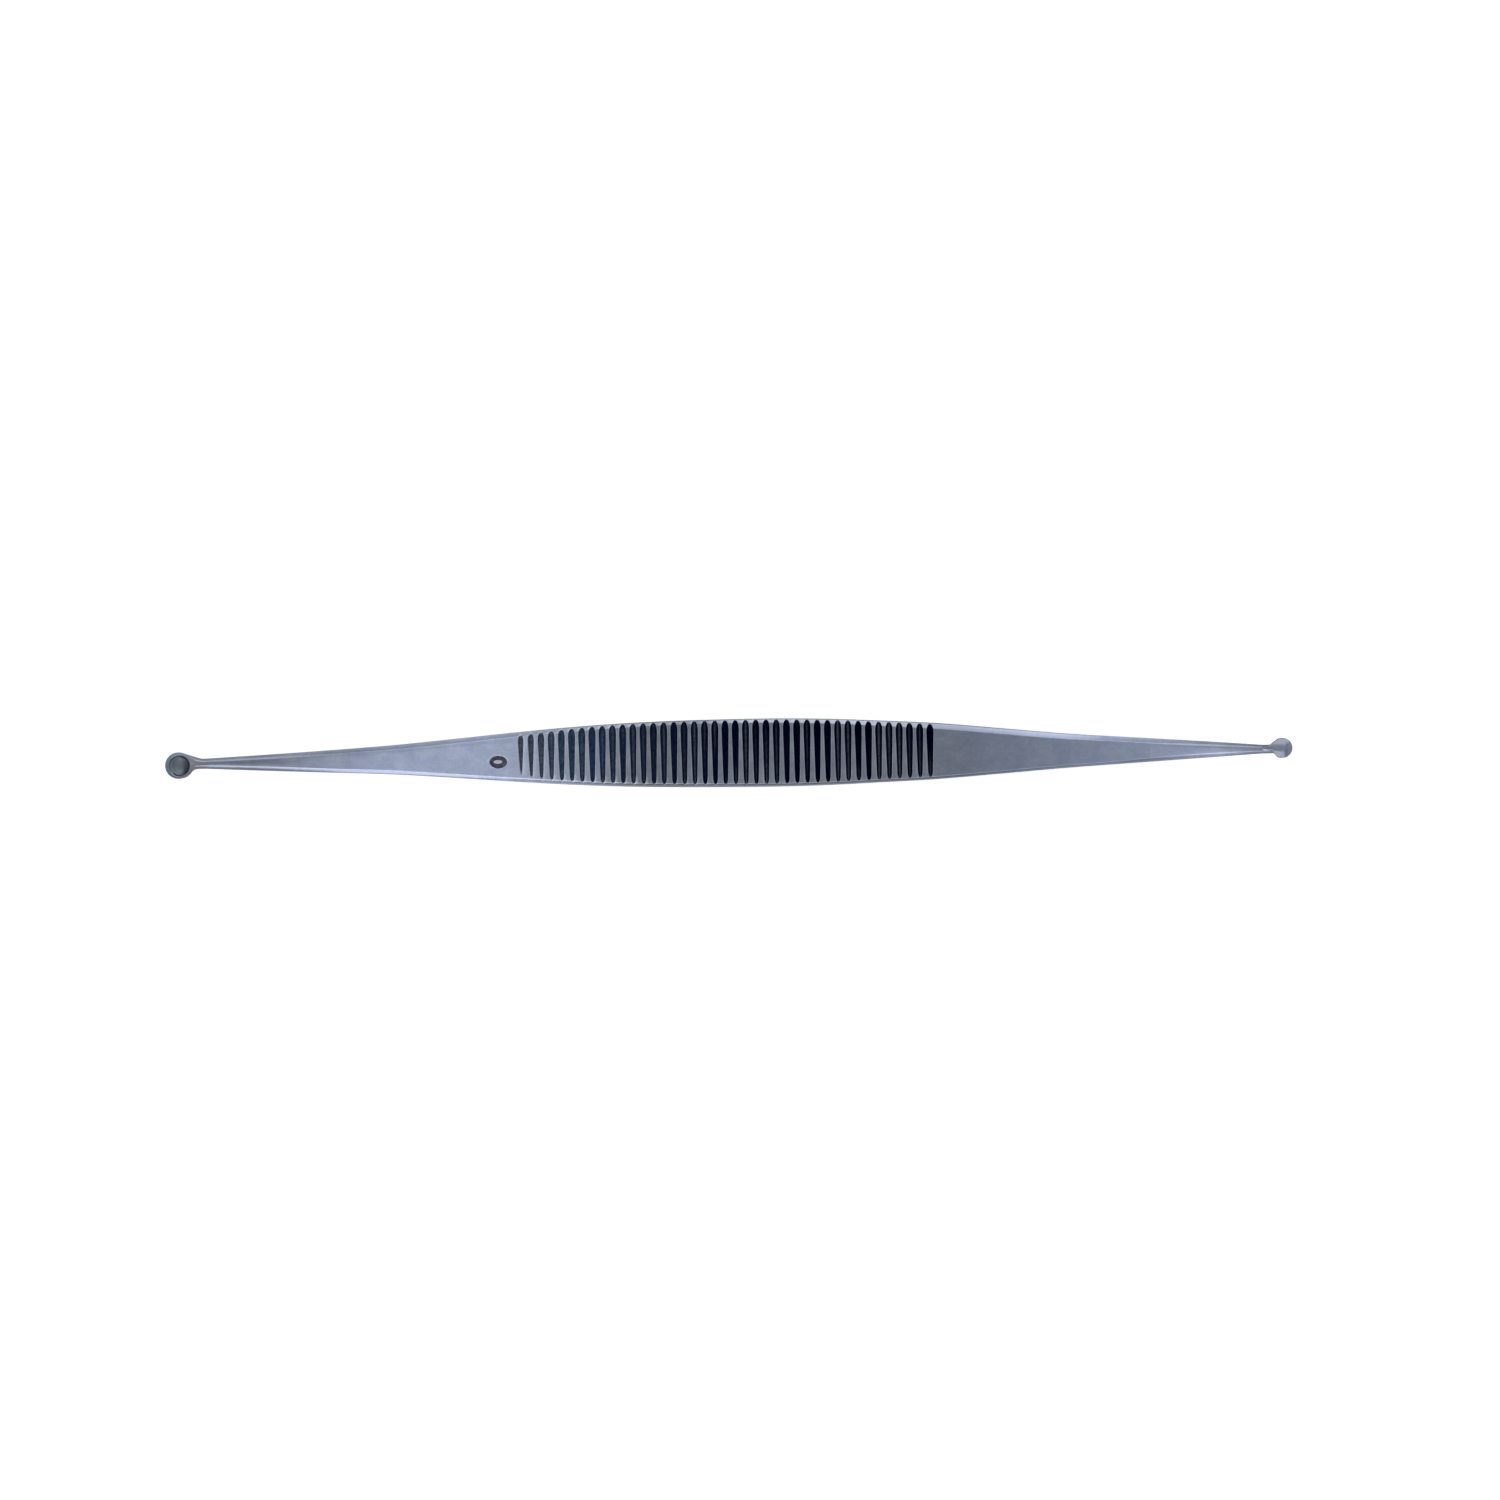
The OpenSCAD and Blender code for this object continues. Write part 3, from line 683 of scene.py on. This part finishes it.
def make_large_cup():
    radius, neck, lift = 1.65, LARGE_NECK_RADIUS, 0.25
    origin = np.array([LARGE_TIP_X + radius, CUP_Y, MID_Z + lift])
    length = LARGE_NECK_X - origin[0]
    neck_y = float(mid_y(LARGE_NECK_X)) - CUP_Y
    end = length + 0.5
    # (distance toward the neck, reach from the centre line)
    outlines = (
        soften([(0.0, 1.6), (0.5, 1.56), (0.93, 1.42), (1.68, 1.17), (2.42, 0.93),
                (2.85, neck + neck_y), (end, neck + neck_y)], blur=0.12),
        soften([(0.0, 1.62), (0.7, 1.56), (1.0, 1.44), (1.42, 1.12), (1.72, 0.72),
                (1.95, 0.56), (2.4, neck - neck_y), (end, neck - neck_y)], blur=0.1),
        soften([(0.0, 1.2), (1.2, 0.8), (2.2, neck - lift), (end, neck - lift)], blur=0.12),
        soften([(0.0, 1.55), (0.8, 1.42), (1.3, 1.16), (2.0, 0.96), (2.5, neck + lift),
                (end, neck + lift)], blur=0.14))
    bowl_centre = np.array([0.20, 0.0, 0.06])
    bowl_size = np.array([1.27, 1.27, 1.16])
    floor_centre, floor_radius = np.array([0.85, 0.15, 1.75]), 2.6

    def field(points):
        x, y, z = points.T
        ball = np.linalg.norm(points, axis=1) - radius
        body = smooth_min(ball, np.maximum(tube(points, *outlines), 0.25 - x), 0.1)
        rim = neck - lift + 0.005 + RIM_SLOPE * (x - 2.55)
        body = smooth_max(body, z - rim, 0.07)
        # the bowl's floor rises gently toward the tip, as in a scoop
        bowl = smooth_max(ellipsoid(points, bowl_centre, bowl_size),
                          np.linalg.norm(points - floor_centre, axis=1) - floor_radius, 0.25)
        # the rim is rounder on the side away from the neck
        tip_side = np.clip(-(0.9 * x + 0.45 * y) / radius + 0.1, 0, 1)
        return smooth_max(body, -bowl, 0.1 + 0.4 * tip_side)

    # (degrees round from the neck's side toward +Y, brightness) of the outside: painted light and
    # shade
    round_gain = [(-180, 0.88), (-120, 0.75), (-85, 0.74), (-60, 0.70), (-25, 0.75), (0, 0.95),
                  (50, 1.0), (80, 1.15), (110, 1.2), (150, 0.88), (180, 0.88)]

    def paint(local):
        x, y, z = local.T
        scaled = (local - bowl_centre) / bowl_size
        plan = np.hypot(scaled[:, 0], scaled[:, 1])
        # the bowl's inside, which takes painted shade
        inside = (ease((1.0 - plan) / 0.08) * (z > -radius * 0.75)
                  * (np.linalg.norm(scaled, axis=1) < 1.12))
        # the wall on the neck's side lies in shade, most of all a little toward +Y
        around = np.arctan2(scaled[:, 1], scaled[:, 0])
        turn = np.cos(around - math.radians(8))
        wall = ease((plan - np.interp(turn, [-0.1, 0.8], [0.5, 0.08])) / 0.5)
        # painted highlight: a pale band under the rim opposite it, and a faint one lower down
        pale = ease((plan - 0.72) / 0.2) * ease(0.5 - 0.9 * turn)
        pale = pale + (0.13 * ease(plan / 0.3) * ease((0.85 - plan) / 0.2)
                       * ease(0.5 + 0.7 * np.cos(around - 2.6)))
        shade = look_up(np.degrees(np.arctan2(y, x)), round_gain)
        neck_gain = look_up((y - neck_y) / neck, LARGE_NECK_GAIN)
        shade = shade + large_neck_share(x + origin[0]) * (neck_gain - shade)
        return inside, inside * wall * ease(0.65 + 0.75 * turn), inside * pale, shade

    return make_cup("large_cup_forged", field, paint, radius, z_range=(-radius - 0.15, 0.7),
                    cell=0.034, origin=origin, neck_x=LARGE_NECK_X)


def make_small_cup():
    radius, neck, drop = 1.24, SMALL_NECK_RADIUS, 0.18
    back_height = 0.63 * radius
    origin = np.array([SMALL_TIP_X - radius, CUP_Y, MID_Z - drop])
    end = origin[0] - SMALL_NECK_X + 0.5
    neck_y = float(mid_y(SMALL_NECK_X)) - CUP_Y
    # (distance toward the neck, reach toward +Y or -Y)
    plus_y = soften([(0.0, 1.24), (0.45, 1.2), (0.60, 1.14), (1.5, 0.45), (1.9, 0.2),
                     (end, 0.0)], blur=0.06)
    minus_y = soften([(0.0, 1.24), (0.5, 1.2), (0.68, 1.08), (0.95, 0.72), (1.3, 0.3),
                      (end, 0.0)], blur=0.05)
    bowl_centre = np.array([0.05, 0.0, -0.42])
    bowl_size = np.array([0.95, 0.95, 0.86])

    def field(points):
        x, y, z = points.T
        # the back slopes away from a ridge along the centre line
        away = np.where(x > 0, np.abs(y), np.hypot(x, y))
        roof = (z - (back_height - 0.55 * (np.hypot(away, 0.55) - 0.55))) * 0.88
        disc = np.hypot(x, y) - (radius - 0.22 * np.clip(-z, 0, 0.5))
        sides = np.maximum(y - np.interp(x, *plus_y), -y - np.interp(x, *minus_y))
        body = smooth_min(disc, np.maximum(sides * 0.8, 0.1 - x), 0.06)
        body = smooth_max(body, roof, 0.09)
        stem = np.maximum(np.hypot(y - neck_y, z - drop) - neck, 0.5 - x)
        body = smooth_min(body, stem, 0.12)
        rim = neck - drop + 0.005 + RIM_SLOPE * (x - 1.75)
        body = smooth_max(body, -z - rim, 0.06)
        return smooth_max(body, -ellipsoid(points, bowl_centre, bowl_size), 0.08)

    # (y, brightness) across the back: painted light and shade
    back_gain = [(-0.9, 0.95), (-0.45, 0.95), (-0.25, 1.0), (0.25, 0.95), (0.45, 0.8), (0.9, 0.8)]

    def paint(local):
        x, y, _ = local.T
        scaled = (local - bowl_centre) / bowl_size
        inside = (np.clip(1.25 - 6 * np.abs(np.linalg.norm(scaled, axis=1) - 1), 0, 1)
                  * (np.hypot(scaled[:, 0], scaled[:, 1]) < 1.02))
        # painted light: brightest at the tip
        shade = 1.45 + (look_up(y, back_gain) - 1.45) * ease((x + 0.8) / 0.4)
        neck_gain = look_up((y - neck_y) / neck, SMALL_NECK_GAIN)
        shade = shade + ease((x - 1.4) / 0.5) * (neck_gain - shade)
        # the bowl's inside takes painted shade
        return inside, inside * 0.4, inside * 0, shade

    return make_cup("small_cup_forged", field, paint, radius, z_range=(-0.75, radius + 0.15),
                    cell=0.03, origin=origin, neck_x=SMALL_NECK_X)


# ------------------------------------------------------------------- materials
RAMP_START, RAMP_END = -70, 70    # x range of the colour ramps along the tool
TONE_SCALE = 1.5                  # keeps the tone ramp under 1; the grain gives it back
# (x, brightness): painted reflection, the flats lighter and darker along the tool
TONE = [(-70, 0.62), (-62, 0.57), (-56, 0.60), (-49, 1.0), (-42, 1.10), (-33, 1.24),
        (-26, 1.08), (-20, 0.88), (-15, 0.71), (-9, 0.44), (0, 0.57), (10, 0.53),
        (24, 0.48), (32, 0.55), (42, 0.67), (52, 0.84), (59, 1.24), (62, 1.12),
        (66, 0.60), (70, 0.62)]
# (x, colour) of the oxide left in the grooves
OXIDE = [(-28, (0.085, 0.088, 0.11)), (-25, (0.055, 0.066, 0.095)),
         (-21, (0.033, 0.055, 0.095)), (-16, (0.015, 0.032, 0.075)),
         (-10, (0.008, 0.014, 0.038)), (-2, (0.002, 0.004, 0.02)),
         (10, (0.001, 0.002, 0.012)), (30, (0.001, 0.002, 0.012))]
# (x, colour) of the bare steel
TINT = [(-70, (0.52, 0.56, 0.70)), (-55, (0.51, 0.56, 0.71)), (-42, (0.495, 0.56, 0.765)),
        (-28, (0.50, 0.56, 0.75)), (-20, (0.51, 0.56, 0.69)), (-8, (0.52, 0.56, 0.67)),
        (22, (0.52, 0.56, 0.67)), (30, (0.50, 0.56, 0.73)), (42, (0.49, 0.56, 0.78)),
        (52, (0.495, 0.56, 0.75)), (64, (0.51, 0.56, 0.73)), (70, (0.52, 0.56, 0.70))]
PATCH_GREY, PATCH_GREEN = (0.53, 0.56, 0.68), (0.495, 0.575, 0.66)
TIP_TEAL, MIDDLE_WARM = (0.37, 0.58, 0.66), (0.58, 0.56, 0.585)
# painted shade and a painted highlight inside the cups' bowls
CUP_BOWL_SHADE = (0.17, 0.195, 0.225), (0.23, 0.25, 0.29)
CUP_SHADOW, CUP_PAINTED_HIGHLIGHT = (0.05, 0.055, 0.07), (0.68, 0.80, 0.86)
WORN_GROOVE = (0.03, 0.04, 0.06), (0.12, 0.145, 0.19)
# colour of the painted highlights on the groove lips and the mark
PAINTED_HIGHLIGHT = (0.78, 0.82, 0.90)


class Nodes:
    """Short names for building a node tree."""

    def __init__(self, tree):
        self.tree = tree
        tree.nodes.clear()

    def add(self, kind, **settings):
        node = self.tree.nodes.new("ShaderNode" + kind)
        for key, value in settings.items():
            setattr(node, key, value)
        return node

    def put(self, socket, value):
        if isinstance(value, bpy.types.NodeSocket):
            self.tree.links.new(value, socket)
        else:
            socket.default_value = value

    def calc(self, operation, a, b=None, clamp=False):
        node = self.add("Math", operation=operation, use_clamp=clamp)
        self.put(node.inputs[0], a)
        if b is not None:
            self.put(node.inputs[1], b)
        return node.outputs[0]

    def times(self, *values):
        return reduce(lambda a, b: self.calc("MULTIPLY", a, b), values)

    def ramp(self, factor, table, mode="LINEAR"):
        """Colours at x stations; factor is 0 at RAMP_START and 1 at RAMP_END."""
        node = self.add("ValToRGB")
        node.color_ramp.interpolation = mode
        stops = node.color_ramp.elements
        while len(stops) > 1:
            stops.remove(stops[-1])
        for i, (x, colour) in enumerate(table):
            position = (x - RAMP_START) / (RAMP_END - RAMP_START)
            stop = stops[0] if i == 0 else stops.new(position)
            stop.position = position
            stop.color = (*colour, 1)
        self.put(node.inputs[0], factor)
        return node.outputs[0]

    def remap(self, value, span, to=(0.0, 1.0)):
        node = self.add("MapRange")
        for i, number in enumerate((value, *span, *to)):
            self.put(node.inputs[i], number)
        return node.outputs[0]

    def noise(self, place, scale, detail=2.0, roughness=0.5, distortion=0.0):
        node = self.add("TexNoise")
        for key, value in (("Vector", place), ("Scale", scale), ("Detail", detail),
                           ("Roughness", roughness), ("Distortion", distortion)):
            self.put(node.inputs[key], value)
        return node.outputs["Fac"]

    def mix(self, factor, under, over, mode="MIX"):
        node = self.add("Mix", data_type="RGBA", blend_type=mode)
        self.put(node.inputs[0], factor)
        for i, value in ((6, under), (7, over)):
            self.put(node.inputs[i], (*value, 1) if isinstance(value, tuple) else value)
        return node.outputs[2]

    def attribute(self, name):
        return self.add("Attribute", attribute_name=name).outputs["Fac"]

    def coordinates(self, kind):
        return self.add("TexCoord").outputs[kind]

    def split(self, vector):
        node = self.add("SeparateXYZ")
        self.put(node.inputs[0], vector)
        return node.outputs

    def combine(self, *channels):
        node = self.add("CombineColor")
        for i, value in enumerate(channels):
            self.put(node.inputs[i], value)
        return node.outputs[0]

    def stretch(self, place, scale):
        node = self.add("Mapping")
        self.put(node.inputs["Vector"], place)
        node.inputs["Scale"].default_value = scale
        return node.outputs[0]


def new_surface(name):
    """A material, its nodes and its surface shader."""
    material = bpy.data.materials.new(name)
    material.use_nodes = True
    nodes = Nodes(material.node_tree)
    output = nodes.add("OutputMaterial")
    shader = nodes.add("BsdfPrincipled")
    nodes.put(output.inputs[0], shader.outputs[0])
    return material, nodes, shader


def cup_tints(nodes, tint, x_mm, y):
    """Tints of the large cup: blue-green at the tip, a painted reflection, and warmer over the
    middle toward -Y.
    """
    teal = nodes.remap(x_mm, span=(-68.0, -69.7))
    tint = nodes.mix(nodes.times(teal, 0.8), tint, TIP_TEAL)
    y_mm = nodes.times(y, 1000.0)
    warm = nodes.times(nodes.remap(x_mm, span=(-68.4, -67.2)),
                       nodes.remap(x_mm, span=(-66.0, -64.6), to=(1.0, 0.0)),
                       nodes.remap(y_mm, span=(0.6, -0.9), to=(0.15, 0.75)))
    return nodes.mix(warm, tint, MIDDLE_WARM)


# painted shade over the inside of a cup's bowl, mottled, darker on the wall, with a painted
# highlight band
def cup_recess(nodes, mottle, depth, edge):
    dark = nodes.mix(nodes.remap(mottle, span=(0.3, 0.7)), *CUP_BOWL_SHADE)
    dark = nodes.mix(depth, dark, CUP_SHADOW)
    return nodes.mix(nodes.times(edge, 0.85), dark, CUP_PAINTED_HIGHLIGHT)


def groove_recess(nodes, place, along, x_mm, mottle, depth):
    """Colour of the oxide, thicker toward +X, and how far it is worn off."""
    dark = nodes.ramp(along, OXIDE)
    dark = nodes.mix(1.0, dark, nodes.remap(mottle, span=(0.3, 0.7), to=(0.45, 1.5)), "MULTIPLY")
    worn = nodes.mix(nodes.remap(mottle, span=(0.3, 0.7)), *WORN_GROOVE)
    # the wear differs from groove to groove
    each = nodes.noise(nodes.stretch(place, (620, 60, 60)), scale=1.0, detail=1)
    each = nodes.calc("ADD", each, nodes.remap(x_mm, span=(14.0, 20.0), to=(0.0, 0.07)))
    wear = nodes.times(depth, nodes.remap(each, span=(0.45, 0.63), to=(0.0, 0.8)))
    return nodes.mix(wear, dark, worn), wear


def steel(name, roughness, cup=False):
    """Satin stainless steel, with dark recesses where the cavity attribute is set."""
    material, nodes, shader = new_surface(name)
    place = nodes.coordinates("Object")
    x, y, _ = nodes.split(place)
    x_mm = nodes.times(x, 1000.0)
    along = nodes.remap(x_mm, span=(RAMP_START, RAMP_END))
    # painted reflection: brightness along the tool
    tone = nodes.ramp(along, [(at, (value / TONE_SCALE,) * 3) for at, value in TONE], "B_SPLINE")

    # grain left by the satin finish: fine specks, faint strokes, wide soft patches
    grain = nodes.noise(place, scale=5200, detail=3, roughness=0.6)
    strokes = nodes.noise(nodes.stretch(place, (350, 3800, 3800)),
                          scale=1.0, detail=3, roughness=0.6)
    patches = nodes.noise(place, scale=420, detail=3, roughness=0.55, distortion=0.4)
    wide = nodes.noise(place, scale=90)
    grain_and_painted_shade = nodes.times(
        nodes.remap(grain, span=(0.25, 0.75), to=(0.92 * TONE_SCALE, 1.08 * TONE_SCALE)),
        nodes.remap(strokes, span=(0.25, 0.75), to=(0.955, 1.045)),
        nodes.remap(patches, span=(0.25, 0.75), to=(0.92, 1.08)),
        nodes.remap(wide, span=(0.3, 0.7), to=(0.965, 1.035)))
    tint = nodes.ramp(along, TINT)
    tint = nodes.mix(nodes.remap(patches, span=(0.3, 0.7), to=(0.0, 0.5)), tint, PATCH_GREY)
    hue = nodes.noise(place, scale=300, detail=3, roughness=0.6)
    tint = nodes.mix(nodes.remap(hue, span=(0.52, 0.72), to=(0.0, 0.6)), tint, PATCH_GREEN)
    if cup:
        tint = cup_tints(nodes, tint, x_mm, y)
    lit = nodes.mix(1.0, tint, tone, "MULTIPLY")
    speck = nodes.noise(place, scale=1700, roughness=0.6)
    # the shade attribute brings in the painted light and shade
    grain_and_painted_shade = nodes.times(grain_and_painted_shade, nodes.remap(speck, span=(0.25, 0.75), to=(0.94, 1.06)),
                         nodes.attribute("shade"))
    lit = nodes.mix(1.0, lit, grain_and_painted_shade, "MULTIPLY")

    cavity, depth, edge = (nodes.attribute(key) for key in ("cavity", "depth", "edge"))
    mottle = nodes.noise(place, scale=2600, detail=3, roughness=0.6)
    if cup:
        dark = cup_recess(nodes, mottle, depth, edge)
        recess = nodes.times(cavity, 0.9)
        highlight_strength = 0.0
    else:
        dark, wear = groove_recess(nodes, place, along, x_mm, mottle, depth)
        recess = cavity
        highlight_strength = nodes.remap(patches, span=(0.35, 0.65), to=(0.1, 0.35))
    colour = nodes.mix(recess, lit, dark)
    # painted highlight: slightly brighter lips beside the recesses, and on the mark
    highlight_share = nodes.times(edge, highlight_strength)
    highlight_share = nodes.times(highlight_share, nodes.calc("SUBTRACT", 1.0, recess))
    nodes.put(shader.inputs["Base Color"], nodes.mix(highlight_share, colour, PAINTED_HIGHLIGHT))

    if cup:
        metal = nodes.calc("SUBTRACT", 1.0, nodes.times(recess, 0.15))
    else:
        metal = nodes.calc("SUBTRACT", 1.0, recess)
        metal = nodes.calc("ADD", metal, nodes.times(recess, wear), clamp=True)
        nodes.put(shader.inputs["Specular IOR Level"], nodes.times(metal, 0.5))
    nodes.put(shader.inputs["Metallic"], metal)
    rough = nodes.calc(
        "ADD", nodes.remap(patches, span=(0.25, 0.75), to=(roughness - 0.04, roughness + 0.05)),
        nodes.times(nodes.calc("SUBTRACT", grain, 0.5), 0.12))
    rough = nodes.calc("ADD", rough, nodes.times(recess, 0.2), clamp=True)
    nodes.put(shader.inputs["Roughness"], rough)

    bump = nodes.add("Bump")
    bump.inputs["Strength"].default_value = 0.35
    bump.inputs["Distance"].default_value = 0.00001
    height = nodes.calc("ADD", nodes.times(grain, 1.0), nodes.times(strokes, 0.8))
    height = nodes.calc("ADD", height, nodes.times(patches, 1.2))
    nodes.put(bump.inputs["Height"], height)
    nodes.put(shader.inputs["Normal"], bump.outputs[0])
    return material


# ------------------------------------------------------------------- the stage
def make_floor():
    bpy.ops.mesh.primitive_plane_add(size=2.4, location=(0, 0, -0.00002))
    floor = bpy.context.active_object
    floor.name = "floor"
    material, nodes, shader = new_surface("floor_white")
    cloud = nodes.noise(nodes.coordinates("Object"), scale=6)
    grey = nodes.remap(cloud, span=(0.3, 0.7), to=(0.84, 0.87))
    nodes.put(shader.inputs["Base Color"], nodes.combine(grey, grey, grey))
    shader.inputs["Roughness"].default_value = 0.9
    # it glows only to the camera, so it looks white without lighting the tool
    shader.inputs["Emission Color"].default_value = (1, 1, 1, 1)
    seen = nodes.add("LightPath").outputs["Is Camera Ray"]
    nodes.put(shader.inputs["Emission Strength"], nodes.times(seen, 0.62))
    floor.data.materials.append(material)


def make_world(scene):
    world = bpy.data.worlds.new("studio")
    scene.world = world
    world.use_nodes = True
    nodes = Nodes(world.node_tree)
    output = nodes.add("OutputWorld")
    background = nodes.add("Background")
    nodes.put(output.inputs[0], background.outputs[0])
    x, y, z = nodes.split(nodes.coordinates("Generated"))
    # dim, with a lighter horizon toward +Y
    far = nodes.remap(y, span=(-0.1, 0.9))
    low = nodes.remap(z, span=(0.0, 0.6), to=(1.0, 0.0))
    level = nodes.calc("ADD", 0.27, nodes.times(far, low, 0.22))
    level = nodes.calc("ADD", level, nodes.remap(z, span=(0.5, 1.0), to=(0.0, 0.13)))
    # the ceiling is darker straight above, where the camera is, than beside it
    beside = nodes.remap(nodes.calc("ABSOLUTE", x), span=(0.03, 0.22), to=(0.0, 0.2))
    overhead = nodes.remap(z, span=(0.6, 0.9), to=(0.3, 1.0))
    level = nodes.calc("ADD", level, nodes.times(beside, overhead))
    # a lighter area toward -X, above the horizon
    left = nodes.times(nodes.remap(x, span=(-0.25, -0.75), to=(0.0, 0.45)),
                       nodes.remap(z, span=(0.1, 0.4)))
    level = nodes.calc("ADD", level, left)
    # slightly blue
    colour = nodes.combine(nodes.times(level, 0.97), level, nodes.times(level, 1.05))
    seen = nodes.add("LightPath").outputs["Is Camera Ray"]
    nodes.put(background.inputs["Color"], nodes.mix(seen, colour, (1.0, 1.0, 1.0)))
    background.inputs["Strength"].default_value = 1.0


def soft_light(name, location, target, size, power):
    """A rectangular lamp aimed at target; places and sizes in metres."""
    lamp = bpy.data.lights.new(name, "AREA")
    lamp.shape = "RECTANGLE"
    lamp.size, lamp.size_y = size
    lamp.energy = power
    light = bpy.data.objects.new(name, lamp)
    light.location = location
    aim = Vector(target) - Vector(location)
    light.rotation_euler = aim.to_track_quat("-Z", "Y").to_euler()
    bpy.context.scene.collection.objects.link(light)


def make_camera(scene):
    """Looks straight down, turned a little about Z."""
    frame_width, turn = 186.26, math.radians(0.9184)
    offset_x, offset_y = 2.63, 0.36    # of the view from the middle of the tool
    lens = bpy.data.cameras.new("camera")
    camera = bpy.data.objects.new("camera", lens)
    scene.collection.objects.link(camera)
    scene.camera = camera
    lens.sensor_width = 36.0
    lens.lens = 105.0
    lens.clip_start = 0.01
    lens.clip_end = 10
    low, high = cad_bounds
    target = Vector(((low[0] + high[0]) / 2 + offset_x * MM,
                     (low[1] + high[1]) / 2 + offset_y * MM, MID_Z * MM))
    distance = frame_width * MM * lens.lens / lens.sensor_width
    camera.location = target + Vector((0, 0, distance))
    camera.rotation_euler = (0, 0, -turn)


# ------------------------------------------------------------------- assembly
grip_steel = steel("ribbed_steel_satin", roughness=0.34)
shank_steel = steel("shank_steel_satin", roughness=0.33)
cup_steel = steel("cup_steel_satin", roughness=0.3, cup=True)

for piece, material, node, slot in (
        (make_grip(), grip_steel, "ribbed_grip", "ribbed_steel"),
        (make_large_shank(), shank_steel, "large_shank", "satin_steel"),
        (make_small_shank(), shank_steel, "small_shank", "satin_steel"),
        (make_large_cup(), cup_steel, "large_cup", "cup_steel"),
        (make_small_cup(), cup_steel, "small_cup", "cup_steel")):
    piece.data.materials.append(material)
    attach(piece, "root")
    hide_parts(node)

scene = bpy.context.scene
scene.view_settings.view_transform = "Standard"
scene.view_settings.look = "None"
make_floor()
make_world(scene)
soft_light("light_far", location=(0.10, 0.5, 0.38), target=(0.04, 0, 0),
           size=(0.8, 0.32), power=1.05)
soft_light("light_near", location=(-0.22, -0.5, 0.42), target=(-0.06, 0, 0),
           size=(0.7, 0.26), power=0.95)
soft_light("light_tip", location=(0.16, -0.5, 0.42), target=(0.07, 0, 0),
           size=(0.25, 0.26), power=0.17)
make_camera(scene)
bpy.context.view_layer.update()
